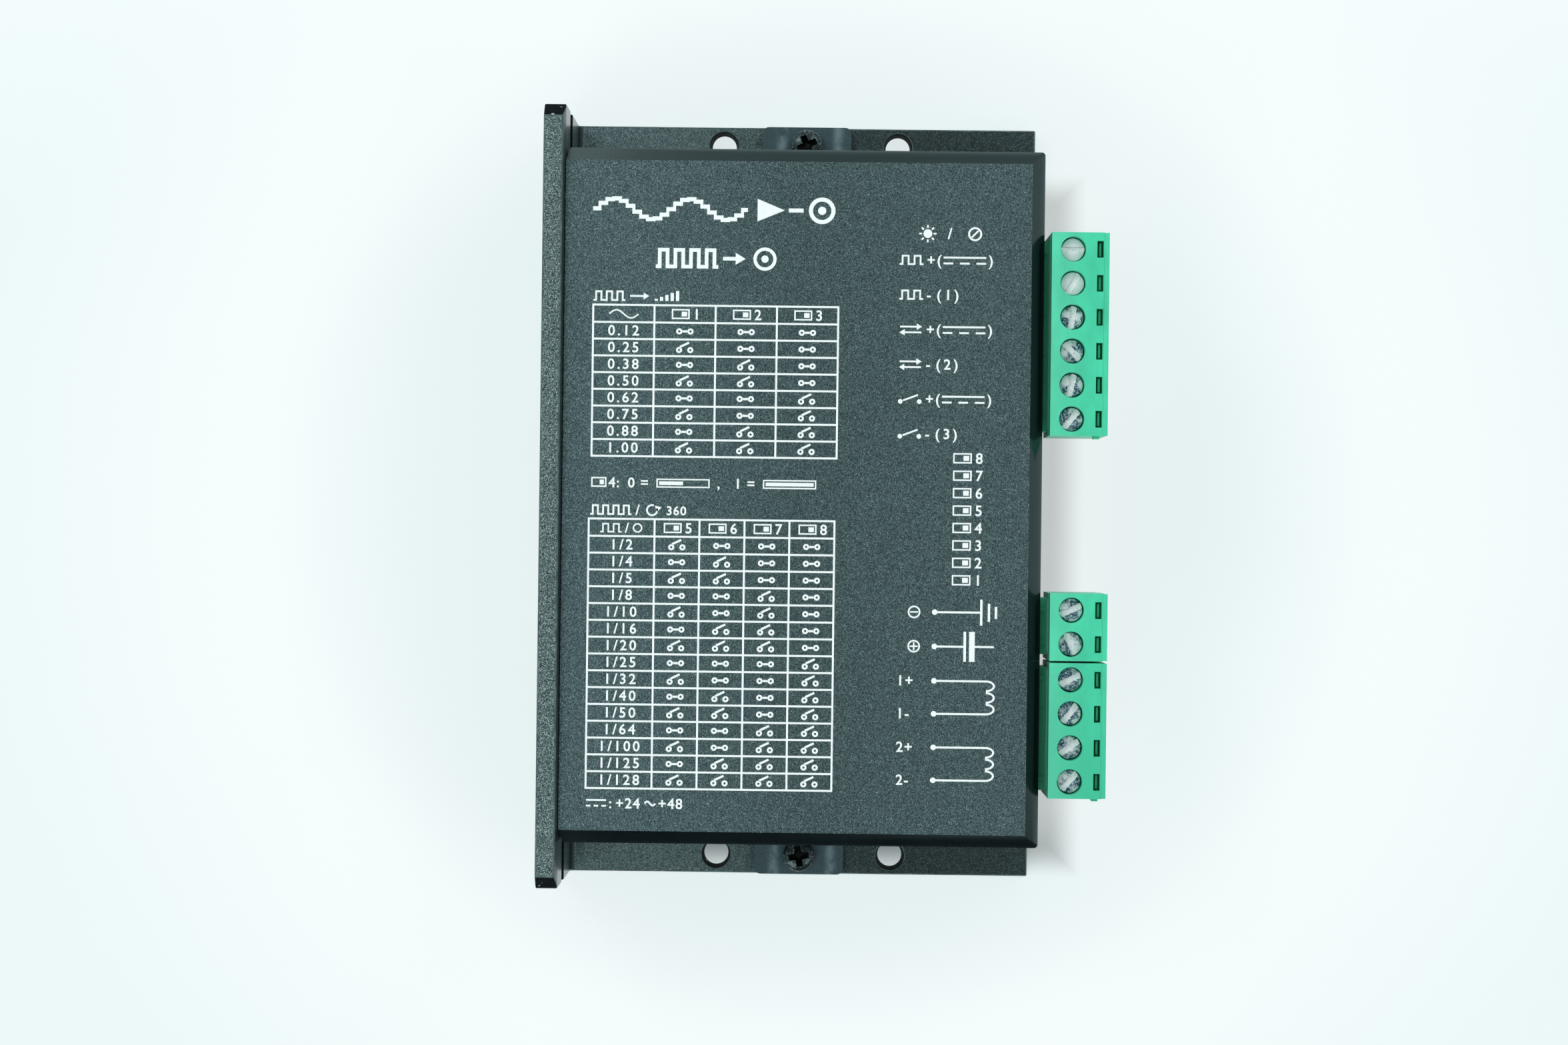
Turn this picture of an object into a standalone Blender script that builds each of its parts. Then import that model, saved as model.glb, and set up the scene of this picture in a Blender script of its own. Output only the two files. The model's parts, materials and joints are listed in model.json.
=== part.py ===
"""Microstepping stepper-motor driver: an L-shaped heatsink carrying a circuit board, closed by a
folded sheet cover, with three pull-off screw-terminal plugs and a bank of eight setting switches.

Sizes are in millimetres and are scaled to metres when a mesh is made. X runs from the heatsink's
wall towards the plugs, Y along the heatsink, Z up from the face that it is mounted on. X sizes are
given from the wall's outer face; the origin is the middle of the overall footprint, at the base.
"""

import math

import bmesh
import bpy
from mathutils import Matrix, Vector

MM = 0.001
GAP = 0.3            # between pieces that touch on the real object
FOOTPRINT_X = 85.2   # wall's outer face to the plugs' wire faces
MIDDLE_X = FOOTPRINT_X / 2

# Heatsink: an L-shaped aluminium extrusion
LENGTH = 118.0
BASE_WIDTH = 75.5
BASE_THICK = 3.2
WALL_HEIGHT = 33.0
WALL_THICK = 3.5
WALL_TOP_THICK = 2.95
GROOVE_LOW = 18.3    # ledge that the board's edge lies on
GROOVE_HIGH = 22.8
GROOVE_BACK = 1.9
FOOT_FILLET = 0.8
END_CHAMFER = 1.8
MOUNT_HOLE_D = 4.4
MOUNT_HOLE_X = (26.3, 53.8)
FIXING_Y = 56.0      # mounting holes and cover screws, from the middle

# Cover: folded steel sheet
SHEET = 1.0
COVER_LOW_X = 3.35
COVER_HIGH_X = 75.45
COVER_Y = 0.25
COVER_HALF_Y = 52.4
COVER_TOP = 31.6
COVER_FOOT = BASE_THICK + GAP
FOLD = 2.0           # width of the 45 degree folds along three top edges
TAB_X = 39.4
TAB_WIDTH = 14.0
TAB_CORNER = 1.0
WINDOW_Y = (-45.4, 41.5)
WINDOW_Z = (20.2, 29.2)

# M3 pan-head screws
SHANK_R = 1.4
CLEAR_R = 1.7
HEAD_R = 2.55
HEAD_HIGH = 1.9
CROSS_WIDTH = 0.8
CROSS_SPAN = 3.0
CROSS_DEEP = 1.1
CROSS_TURN = math.radians(24)

# Circuit board and what stands on it
BOARD_X = (2.3, 74.1)
BOARD_HALF_Y = 50.1
BOARD_LOW = GROOVE_LOW + GAP
BOARD_THICK = 1.6
BOARD_TOP = BOARD_LOW + BOARD_THICK
SEAT = BOARD_TOP + GAP
POST_X = 60.0
POST_Y = 45.5
POST_FLATS = 5.5

# Terminals
PITCH = 5.08
POLES = 6
CONTROL_Y = 25.1
OUTPUT_Y = -29.0
PLUG_SPLIT = 0.12    # half of the gap that play leaves between the power and motor plugs
CONTROL_PLUG_X = 76.3
OUTPUT_PLUG_X = 76.6
PLUG_LOW = 19.0
TOWER_DEEP = 8.6
TOWER_HIGH = 15.0
TOWER_TRIM = 0.03
NOSE_LONG = 9.1
NOSE_INSET = 0.8
NOSE_Z = (2.6, 8.2)
SOCKET_Z = (3.9, 6.5)
SOCKET_HALF_Y = 1.1
SOCKET_END = -1.2
AXIS_X = 3.23        # terminal screw's axis, from the tower's rear face
BORE_R = 1.9
NECK_R = 1.6
NECK_Z = (10.4, 11.2)
CHAMBER_X = (1.2, 6.4)
CHAMBER_HALF_Y = 2.1
CHAMBER_LOW = 1.1
ENTRY_HALF_Y = 1.5
ENTRY_Z = (1.9, 5.6)
BAR_X = (0.6, 5.9)
BAR_HALF_Y = 1.1
BAR_Z = (4.9, 5.7)
TEST_SLOT_X = (6.73, 7.73)
TEST_SLOT_HALF_Y = 1.25
TEST_SLOT_DEEP = 5.0

# Headers that the plugs push into, measured from the plug's tower like the sizes above
HEADER_X = (-13.3, -1.3)
HEADER_END = 0.76    # how far each end wall stands past the poles
HEADER_HIGH = 8.4
HEADER_FLOOR = 0.8
HEADER_ROOF = 1.0
CAVITY_BACK = -9.4
CAVITY_INSET = 0.4
PIN_HALF = 0.5
PIN_Z = 5.2
PIN_TIP = -2.3

# Terminal screws and the rising clamps that they draw up
SCREW_HEAD_R = 1.75
SCREW_HEAD_HIGH = 2.0
SCREW_SLOT_W = 0.8
SCREW_SLOT_DEEP = 1.0
SCREW_SHANK_R = 1.2
SCREW_SHANK_LONG = 5.5
CLAMP_X = (-1.63, 2.77)
CLAMP_HALF_Y = 1.85
CLAMP_HIGH = 6.4
CLAMP_FLOOR = 0.8
CLAMP_ROOF = 1.0
CLAMP_SIDE = 0.45
CLAMP_HOLE_R = 1.35
CLAMP_LOW = 1.4      # height of an open clamp above the tower's underside
CONTROL_SLOTS = (0, 60, 82, 135, 77, 51)   # screw slots as they were left, degrees from X
POWER_SLOTS = (25, 114)
MOTOR_SLOTS = (27, 52, 35, 49)

# Setting switches and status light
SWITCHES = 8
SWITCH_PITCH = 2.54
SWITCH_Y = -1.95
SWITCH_X = (66.9, 74.9)
SWITCH_HALF_Y = 10.75
SWITCH_HIGH = 7.6
SLIDER_WIDTH = 1.1
SLIDER_HIGH = 1.5
SLIDER_DEEP = 1.65
SLIDER_PROUD = 0.3
SLIDER_TRAVEL = 1.8
SLIDER_Z = 22.6
LIGHT_Y = 45.0
LIGHT_Z = 25.0
LIGHT_R = 1.5
LIGHT_HOLE_R = 1.85
LIGHT_X = (70.4, 75.3)

# Power stage under the board
PAD_X = (WALL_THICK + GAP, WALL_THICK + GAP + 0.5)
PAD_HALF_Y = 26.0
PAD_Z = (4.6, 17.0)
BRIDGE_Y = (14.0, -14.0)
BRIDGE_X = (PAD_X[1] + GAP, 9.0)
BRIDGE_HALF_Y = 11.0
BRIDGE_Z = (5.0, 16.5)
BRIDGE_SCREW_Z = 9.5
BRIDGE_PINS = 9
CAN_R = 6.25
CAN_Z = (4.2, 16.8)
CAN_PLACES = ((50.0, -30.0), (50.0, -15.0))
CHOKE_PLACE = (50.0, 8.0, 11.0)
CHOKE_RING_R = 4.5
CHOKE_WIRE_R = 2.3
LEAD_R = 0.4

# Signal side on top of the board
CONTROLLER_PLACE = (36.0, 4.0)
COUPLER_X = 54.0
COUPLER_Y = (33.5, 25.1, 16.7)


# Mesh building: every function adds closed shells, in millimetres, to a bmesh

def add_box(bm, x, y, z):
    """A box from three (low, high) pairs."""
    middle = Vector([sum(pair) / 2 for pair in (x, y, z)])
    size = [pair[1] - pair[0] for pair in (x, y, z)]
    bmesh.ops.create_cube(bm, size=1, matrix=Matrix.Translation(middle) @ Matrix.Diagonal((*size, 1)))


def add_rod(bm, start, end, radius, sides=16):
    """A cylinder between two points."""
    start, end = Vector(start), Vector(end)
    turn = (end - start).to_track_quat("Z", "Y").to_matrix().to_4x4()
    bmesh.ops.create_cone(bm, cap_ends=True, segments=sides, radius1=radius, radius2=radius,
                          depth=(end - start).length, matrix=Matrix.Translation((start + end) / 2) @ turn)


def add_prism(bm, outline, axis, low, high):
    """A flat outline carried along one axis; the outline gives the other two coordinates in order."""
    across = [i for i in range(3) if i != axis]
    ends = []
    for level in (low, high):
        ring = []
        for point in outline:
            place = [level] * 3
            for i, value in zip(across, point):
                place[i] = value
            ring.append(bm.verts.new(place))
        ends.append(ring)
    bm.faces.new(ends[0])
    bm.faces.new(reversed(ends[1]))
    for i in range(len(outline)):
        j = (i + 1) % len(outline)
        bm.faces.new((ends[0][i], ends[0][j], ends[1][j], ends[1][i]))


def add_hull(bm, points):
    """The convex solid around the points."""
    verts = [bm.verts.new(point) for point in points]
    bmesh.ops.convex_hull(bm, input=verts)
    bmesh.ops.dissolve_limit(bm, angle_limit=math.radians(1), verts=bm.verts, edges=bm.edges)


def add_turned(bm, profile, sides=16):
    """A solid turned about Z from (radius, height) points that start and end on the axis."""
    verts = [bm.verts.new((radius, 0, height)) for radius, height in profile]
    edges = [bm.edges.new(pair) for pair in zip(verts, verts[1:])]
    bmesh.ops.spin(bm, geom=verts + edges, cent=(0, 0, 0), axis=(0, 0, 1), angle=math.tau, steps=sides)
    bmesh.ops.remove_doubles(bm, verts=bm.verts, dist=0.001)


def shells(add, *arguments, **named):
    """A new bmesh filled by one of the functions above."""
    bm = bmesh.new()
    add(bm, *arguments, **named)
    return bm


def arc(centre, radius, first, last, steps):
    """Points on an arc, with its angles in degrees."""
    angles = [math.radians(first + (last - first) * i / steps) for i in range(steps + 1)]
    return [(centre[0] + radius * math.cos(a), centre[1] + radius * math.sin(a)) for a in angles]


def cross_outline(reach, half):
    """A plus sign with arms of the given reach and half width."""
    points = []
    for c, s in ((1, 0), (0, 1), (-1, 0), (0, -1)):
        points += [(c * u - s * v, s * u + c * v) for u, v in ((reach, -half), (reach, half), (half, half))]
    return points


# Objects

def clear_scene():
    for obj in list(bpy.data.objects):
        bpy.data.objects.remove(obj, do_unlink=True)


def material(name, colour, roughness, metallic=0.0):
    made = bpy.data.materials.new(name)
    made.use_nodes = True
    shader = made.node_tree.nodes["Principled BSDF"]
    shader.inputs["Base Color"].default_value = (*colour, 1)
    shader.inputs["Roughness"].default_value = roughness
    shader.inputs["Metallic"].default_value = metallic
    return made


def link(name, bm):
    """An object of a bmesh, still in millimetres, with its faces pointing out."""
    bmesh.ops.recalc_face_normals(bm, faces=bm.faces)
    mesh = bpy.data.meshes.new(name)
    bm.to_mesh(mesh)
    bm.free()
    obj = bpy.data.objects.new(name, mesh)
    bpy.context.scene.collection.objects.link(obj)
    return obj


def shape(name, body, *steps):
    """A mesh in metres: the body after each ("UNION" or "DIFFERENCE", bmesh) step."""
    obj = link(name, body)
    tools = []
    for operation, bm in steps:
        tools.append(link(name + "_tool", bm))
        modifier = obj.modifiers.new(operation.title(), "BOOLEAN")
        modifier.operation = operation
        modifier.solver = "EXACT"
        modifier.object = tools[-1]
    graph = bpy.context.evaluated_depsgraph_get()
    mesh = bpy.data.meshes.new_from_object(obj.evaluated_get(graph))
    for used in [obj, *tools]:
        bpy.data.objects.remove(used, do_unlink=True)
    mesh.name = name
    mesh.transform(Matrix.Scale(MM, 4))
    mesh.shade_smooth()
    mesh.set_sharp_from_angle(angle=math.radians(30))
    return mesh


def place(name, mesh, finish, at=(MIDDLE_X, 0, 0), turn=(0, 0, 0), parent=None):
    """A named object; its place is in the wall's coordinates, or its parent's, in millimetres."""
    if not mesh.materials:
        mesh.materials.append(finish)
    obj = bpy.data.objects.new(name, mesh)
    bpy.context.scene.collection.objects.link(obj)
    obj.parent = parent
    shift = 0 if parent else MIDDLE_X
    obj.location = Vector((at[0] - shift, at[1], at[2])) * MM
    obj.rotation_euler = turn
    return obj


def in_frame(mesh):
    """Moves a mesh drawn from the wall's outer face so that its object can stand at the origin."""
    mesh.transform(Matrix.Translation((-MIDDLE_X * MM, 0, 0)))
    return mesh


# The pieces

def make_heatsink(finish):
    profile = [(0, 0), (BASE_WIDTH, 0), (BASE_WIDTH, BASE_THICK)]
    profile += arc((WALL_THICK + FOOT_FILLET, BASE_THICK + FOOT_FILLET), FOOT_FILLET, 270, 180, 4)
    profile += [(WALL_THICK, GROOVE_LOW), (GROOVE_BACK, GROOVE_LOW), (GROOVE_BACK, GROOVE_HIGH),
                (WALL_TOP_THICK, GROOVE_HIGH), (WALL_TOP_THICK, WALL_HEIGHT), (0, WALL_HEIGHT)]
    holes = bmesh.new()
    for side in (-1, 1):
        end, fixing = side * LENGTH / 2, side * FIXING_Y
        for x in MOUNT_HOLE_X:
            add_rod(holes, (x, fixing, -1), (x, fixing, BASE_THICK + 1), MOUNT_HOLE_D / 2)
        add_rod(holes, (TAB_X, fixing, -1), (TAB_X, fixing, BASE_THICK + 1), CLEAR_R)
        post = side * POST_Y
        add_rod(holes, (POST_X, post, -1), (POST_X, post, BASE_THICK + 1), CLEAR_R)
        corner = [(end - side * END_CHAMFER, WALL_HEIGHT), (end, WALL_HEIGHT - END_CHAMFER),
                  (end + side, WALL_HEIGHT - END_CHAMFER), (end + side, WALL_HEIGHT + 1),
                  (end - side * END_CHAMFER, WALL_HEIGHT + 1)]
        add_prism(holes, corner, 0, -1, WALL_THICK + 1)
    for y in BRIDGE_Y:
        add_rod(holes, (1.2, y, BRIDGE_SCREW_Z), (WALL_THICK + 1, y, BRIDGE_SCREW_Z), CLEAR_R)
    body = shells(add_prism, profile, 1, -LENGTH / 2, LENGTH / 2)
    return place("heatsink", in_frame(shape("heatsink", body, ("DIFFERENCE", holes))), finish)


def folded_shell(inset):
    """The cover's outer form, or its hollow when inset by the sheet's thickness."""
    side, top = COVER_HALF_Y - inset, COVER_TOP - inset
    right = COVER_HIGH_X - inset
    fold = FOLD - inset * math.tan(math.radians(22.5))
    left = COVER_LOW_X - (5 if inset else 0)
    foot = COVER_FOOT - (5 if inset else 0)
    points = []
    for across in (-1, 1):
        for z, back in ((foot, 0), (top - fold, 0), (top, fold)):
            y = COVER_Y + across * (side - back)
            points += [(left, y, z), (right - back, y, z)]
    return shells(add_hull, points)


def make_cover(finish):
    tabs, holes = bmesh.new(), bmesh.new()
    for side in (-1, 1):
        end, root = side * LENGTH / 2, COVER_Y + side * (COVER_HALF_Y - SHEET)
        half, corner = TAB_WIDTH / 2, TAB_CORNER
        inner = end - side * corner
        outline = [(TAB_X - half, root), (TAB_X + half, root)]
        outline += [(TAB_X + half - corner + u, inner + side * v) for u, v in arc((0, 0), corner, 0, 90, 4)]
        outline += [(TAB_X - half + corner - u, inner + side * v) for u, v in arc((0, 0), corner, 90, 0, 4)]
        add_prism(tabs, outline, 2, COVER_FOOT, COVER_FOOT + SHEET)
        add_rod(holes, (TAB_X, side * FIXING_Y, 0), (TAB_X, side * FIXING_Y, 10), CLEAR_R)
    add_box(holes, (COVER_HIGH_X - 2, COVER_HIGH_X + 1), WINDOW_Y, WINDOW_Z)
    add_rod(holes, (COVER_HIGH_X - 2, LIGHT_Y, LIGHT_Z), (COVER_HIGH_X + 1, LIGHT_Y, LIGHT_Z), LIGHT_HOLE_R)
    # The end walls step back round the heatsink's thicker lower wall and its foot.
    wall, foot = WALL_THICK + GAP, WALL_THICK + FOOT_FILLET + GAP
    foot_top = BASE_THICK + FOOT_FILLET + GAP
    relief = shells(add_prism, [(0, 0), (foot, 0), (foot, foot_top), (wall, foot_top), (wall, BOARD_LOW),
                                (0, BOARD_LOW)], 1, -LENGTH, LENGTH)
    steps = [("DIFFERENCE", folded_shell(SHEET)), ("UNION", tabs), ("DIFFERENCE", holes),
             ("DIFFERENCE", relief)]
    return place("cover", in_frame(shape("cover", folded_shell(0), *steps)), finish)


def screw_mesh(name, shank):
    """A cross-recessed pan-head screw standing on the plane under its head."""
    profile = [(0, HEAD_HIGH), (1.3, HEAD_HIGH - 0.08), (2.1, HEAD_HIGH - 0.4), (HEAD_R, HEAD_HIGH - 1.1),
               (HEAD_R, 0), (SHANK_R, 0), (SHANK_R, -shank), (0, -shank)]
    cross = cross_outline(CROSS_SPAN / 2, CROSS_WIDTH / 2)
    recess = shells(add_prism, cross, 2, HEAD_HIGH - CROSS_DEEP, HEAD_HIGH + 1)
    return shape(name, shells(add_turned, profile), ("DIFFERENCE", recess))


def make_fixings(finish, steel):
    """The cover's screws, the board's posts and screws, and the screws of the power stage."""
    short = screw_mesh("m3_screw_short", 4.6)
    long = screw_mesh("m3_screw_long", 7.2)
    short_steel = short.copy()
    for mark, side in (("rear", 1), ("front", -1)):
        above_tab = COVER_FOOT + SHEET + GAP
        place("cover_screw_" + mark, short, finish, (TAB_X, side * FIXING_Y, above_tab), (0, 0, CROSS_TURN))
        place("board_screw_" + mark, short_steel, steel, (POST_X, side * POST_Y, SEAT))
        post = shells(add_rod, (0, 0, 0), (0, 0, GROOVE_LOW - COVER_FOOT), POST_FLATS / math.sqrt(3), 6)
        spigot = shells(add_rod, (0, 0, 0.6 - COVER_FOOT), (0, 0, 1), SHANK_R)
        bore = shells(add_rod, (0, 0, 8), (0, 0, 20), CLEAR_R)
        mesh = shape("board_post", post, ("UNION", spigot), ("DIFFERENCE", bore))
        place("board_post_" + mark, mesh, steel, (POST_X, side * POST_Y, COVER_FOOT))
    for mark, y in zip("ab", BRIDGE_Y):
        spot = (BRIDGE_X[1] + GAP, y, BRIDGE_SCREW_Z)
        place("bridge_screw_" + mark, long, steel, spot, (0, math.pi / 2, 0))


def make_board(finish):
    body = shells(add_box, BOARD_X, (COVER_Y - BOARD_HALF_Y, COVER_Y + BOARD_HALF_Y), (BOARD_LOW, BOARD_TOP))
    holes = bmesh.new()
    for side in (-1, 1):
        add_rod(holes, (POST_X, side * POST_Y, 0), (POST_X, side * POST_Y, 30), CLEAR_R)
    return place("circuit_board", in_frame(shape("circuit_board", body, ("DIFFERENCE", holes))), finish)


def make_power_stage(pad_finish, package_finish, can_finish, winding_finish):
    holes = bmesh.new()
    for y in BRIDGE_Y:
        add_rod(holes, (0, y, BRIDGE_SCREW_Z), (10, y, BRIDGE_SCREW_Z), CLEAR_R)
    sheet = shells(add_box, PAD_X, (-PAD_HALF_Y, PAD_HALF_Y), PAD_Z)
    place("thermal_pad", in_frame(shape("thermal_pad", sheet, ("DIFFERENCE", holes))), pad_finish)

    pins, middle = bmesh.new(), sum(BRIDGE_X) / 2
    for i in range(BRIDGE_PINS):
        y = (i - (BRIDGE_PINS - 1) / 2) * 2.3
        add_box(pins, (middle - 0.25, middle + 0.25), (y - 0.4, y + 0.4), (BRIDGE_Z[1] - 0.5, GROOVE_LOW))
    body = shells(add_box, BRIDGE_X, (-BRIDGE_HALF_Y, BRIDGE_HALF_Y), BRIDGE_Z)
    hole = shells(add_rod, (0, 0, BRIDGE_SCREW_Z), (20, 0, BRIDGE_SCREW_Z), CLEAR_R)
    bridge = in_frame(shape("bridge_driver", body, ("UNION", pins), ("DIFFERENCE", hole)))
    for mark, y in zip("ab", BRIDGE_Y):
        place("bridge_driver_" + mark, bridge, package_finish, (MIDDLE_X, y, 0))

    low, high = CAN_Z
    profile = [(0, low), (CAN_R - 0.5, low), (CAN_R, low + 0.5), (CAN_R, high - 2.6),
               (CAN_R - 0.5, high - 2.1), (CAN_R, high - 1.6), (CAN_R, high - 0.4),
               (CAN_R - 0.5, high), (0, high)]
    leads = bmesh.new()
    for y in (-2.5, 2.5):
        add_rod(leads, (0, y, high - 1), (0, y, GROOVE_LOW), LEAD_R, 8)
    can = shape("bulk_capacitor", shells(add_turned, profile, 20), ("UNION", leads))
    for i, (x, y) in enumerate(CAN_PLACES, 1):
        place(f"bulk_capacitor_{i}", can, can_finish, (x, y, 0))

    ring = bmesh.new()
    around, sides = 16, 8
    grid = []
    for i in range(around):
        a = math.tau * i / around
        loop = arc((CHOKE_RING_R, 0), CHOKE_WIRE_R, 0, 360 - 360 / sides, sides - 1)
        grid.append([ring.verts.new((r * math.cos(a), y, r * math.sin(a))) for r, y in loop])
    for i in range(around):
        for j in range(sides):
            k, m = (i + 1) % around, (j + 1) % sides
            ring.faces.new((grid[i][j], grid[k][j], grid[k][m], grid[i][m]))
    leads = bmesh.new()
    for x in (-2.5, 2.5):
        add_rod(leads, (x, 0, 4.5), (x, 0, GROOVE_LOW - CHOKE_PLACE[2]), LEAD_R, 8)
    place("filter_choke", shape("filter_choke", ring, ("UNION", leads)), winding_finish, CHOKE_PLACE)


def make_signal_chips(finish):
    body = shells(add_box, (-3.5, 3.5), (-3.5, 3.5), (0.1, 1.5))
    legs = shells(add_prism, cross_outline(4.4, 3.2), 2, 0, 0.25)
    controller = shape("microcontroller", body, ("UNION", legs))
    place("microcontroller", controller, finish, (*CONTROLLER_PLACE, SEAT))

    legs = bmesh.new()
    for i in (-1, 1):
        add_box(legs, (-4.4, 4.4), (i * 1.27 - 0.25, i * 1.27 + 0.25), (0, 0.9))
    body = shells(add_box, (-3.2, 3.2), (-2.3, 2.3), (0.5, 3.6))
    coupler = shape("optocoupler", body, ("UNION", legs))
    for mark, y in zip(("pulse", "direction", "enable"), COUPLER_Y):
        place("optocoupler_" + mark, coupler, finish, (COUPLER_X, y, SEAT))


def pole_places(poles):
    """Each pole's Y from the plug's middle, counted from the +Y end."""
    return [((poles - 1) / 2 - i) * PITCH for i in range(poles)]


def make_header(name, y, finish):
    half = POLES * PITCH / 2
    low = SEAT - PLUG_LOW
    body = shells(add_box, HEADER_X, (-half - HEADER_END, half + HEADER_END), (low, low + HEADER_HIGH))
    hollow = shells(add_box, (CAVITY_BACK, 5), (CAVITY_INSET - half, half - CAVITY_INSET),
                    (low + HEADER_FLOOR, low + HEADER_HIGH - HEADER_ROOF))
    pins = bmesh.new()
    for pole in pole_places(POLES):
        add_box(pins, (CAVITY_BACK - 1, PIN_TIP), (pole - PIN_HALF, pole + PIN_HALF),
                (PIN_Z - PIN_HALF, PIN_Z + PIN_HALF))
    mesh = shape(name, body, ("DIFFERENCE", hollow), ("UNION", pins))
    place(name, mesh, finish, (CONTROL_PLUG_X, y, PLUG_LOW))


def plug_mesh(name, poles):
    """A plug from its tower's rear face: the tower over the wires and the nose that enters the header."""
    half = poles * PITCH / 2
    tower = shells(add_box, (0, TOWER_DEEP), (TOWER_TRIM - half, half - TOWER_TRIM), (0, TOWER_HIGH))
    nose = shells(add_box, (-NOSE_LONG, 0.5), (NOSE_INSET - half, half - NOSE_INSET), NOSE_Z)
    wells, necks, entries, bars = [bmesh.new() for _ in range(4)]
    for y in pole_places(poles):
        add_box(wells, CHAMBER_X, (y - CHAMBER_HALF_Y, y + CHAMBER_HALF_Y), (CHAMBER_LOW, NECK_Z[0]))
        add_rod(wells, (AXIS_X, y, NECK_Z[1]), (AXIS_X, y, TOWER_HIGH + 1), BORE_R)
        add_box(wells, TEST_SLOT_X, (y - TEST_SLOT_HALF_Y, y + TEST_SLOT_HALF_Y),
                (TOWER_HIGH - TEST_SLOT_DEEP, TOWER_HIGH + 1))
        add_box(wells, (-NOSE_LONG - 1, SOCKET_END), (y - SOCKET_HALF_Y, y + SOCKET_HALF_Y), SOCKET_Z)
        add_rod(necks, (AXIS_X, y, NECK_Z[0] - 0.5), (AXIS_X, y, NECK_Z[1] + 0.5), NECK_R, 12)
        add_box(entries, (CHAMBER_X[1] - 0.5, TOWER_DEEP + 1), (y - ENTRY_HALF_Y, y + ENTRY_HALF_Y), ENTRY_Z)
        add_box(bars, BAR_X, (y - BAR_HALF_Y, y + BAR_HALF_Y), BAR_Z)
    return shape(name, tower, ("UNION", nose), ("DIFFERENCE", wells), ("DIFFERENCE", necks),
                 ("DIFFERENCE", entries), ("UNION", bars))


def terminal_screw_mesh():
    """A slotted cheese-head screw; its slot lies along X, and its head stands on the axis origin."""
    top, tip = SCREW_HEAD_HIGH, -SCREW_SHANK_LONG
    profile = [(0, top), (SCREW_HEAD_R - 0.2, top), (SCREW_HEAD_R, top - 0.2), (SCREW_HEAD_R, 0),
               (SCREW_SHANK_R, 0), (SCREW_SHANK_R, tip), (0, tip)]
    half = SCREW_SLOT_W / 2
    slot = shells(add_box, (-4, 4), (-half, half), (top - SCREW_SLOT_DEEP, top + 1))
    return shape("terminal_screw", shells(add_turned, profile), ("DIFFERENCE", slot))


def clamp_mesh():
    """A box clamp open along X, with the hole in its roof for the screw."""
    body = shells(add_box, CLAMP_X, (-CLAMP_HALF_Y, CLAMP_HALF_Y), (0, CLAMP_HIGH))
    inner = CLAMP_HALF_Y - CLAMP_SIDE
    window = shells(add_box, (-5, 5), (-inner, inner), (CLAMP_FLOOR, CLAMP_HIGH - CLAMP_ROOF))
    hole = shells(add_rod, (0, 0, CLAMP_HIGH - CLAMP_ROOF - 0.5), (0, 0, CLAMP_HIGH + 1), CLAMP_HOLE_R, 12)
    return shape("wire_clamp", body, ("DIFFERENCE", window), ("DIFFERENCE", hole))


def make_terminals(green, screw_finish, clamp_finish):
    make_header("control_header", CONTROL_Y, green)
    make_header("output_header", OUTPUT_Y, green)
    screw, clamp = terminal_screw_mesh(), clamp_mesh()
    power_y = OUTPUT_Y + PLUG_SPLIT + 2 * PITCH
    motor_y = OUTPUT_Y - PLUG_SPLIT - PITCH
    for name, x, y, slots in (("control", CONTROL_PLUG_X, CONTROL_Y, CONTROL_SLOTS),
                              ("power", OUTPUT_PLUG_X, power_y, POWER_SLOTS),
                              ("motor", OUTPUT_PLUG_X, motor_y, MOTOR_SLOTS)):
        plug = place(name + "_plug", plug_mesh(name + "_plug", len(slots)), green, (x, y, PLUG_LOW))
        head = NECK_Z[1] + GAP
        for i, (pole, slot) in enumerate(zip(pole_places(len(slots)), slots), 1):
            turn = (0, 0, math.radians(slot))
            place(f"{name}_screw_{i}", screw, screw_finish, (AXIS_X, pole, head), turn, plug)
            place(f"{name}_clamp_{i}", clamp, clamp_finish, (AXIS_X, pole, CLAMP_LOW), parent=plug)


def make_switches(body_finish, slider_finish):
    front = SWITCH_X[1]
    rows = [((SWITCHES - 1) / 2 - i) * SWITCH_PITCH for i in range(SWITCHES)]
    grooves = bmesh.new()
    low = SLIDER_Z - SEAT - 0.2
    deep = SLIDER_DEEP - SLIDER_PROUD + 0.2
    for y in rows:
        half = SLIDER_WIDTH / 2 + 0.2
        add_box(grooves, (-deep, 1), (y - half, y + half), (low, low + SLIDER_HIGH + SLIDER_TRAVEL + 0.4))
    body = shells(add_box, (SWITCH_X[0] - front, 0), (-SWITCH_HALF_Y, SWITCH_HALF_Y), (0, SWITCH_HIGH))
    bank = place("switch_bank", shape("switch_bank", body, ("DIFFERENCE", grooves)), body_finish,
                 (front, SWITCH_Y, SEAT))
    half = SLIDER_WIDTH / 2
    slider = shape("switch_slider", shells(add_box, (SLIDER_PROUD - SLIDER_DEEP, SLIDER_PROUD), (-half, half),
                                           (0, SLIDER_HIGH)))
    for i, y in enumerate(reversed(rows), 1):
        place(f"switch_slider_{i}", slider, slider_finish, (0, y, SLIDER_Z - SEAT), parent=bank)


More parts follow.
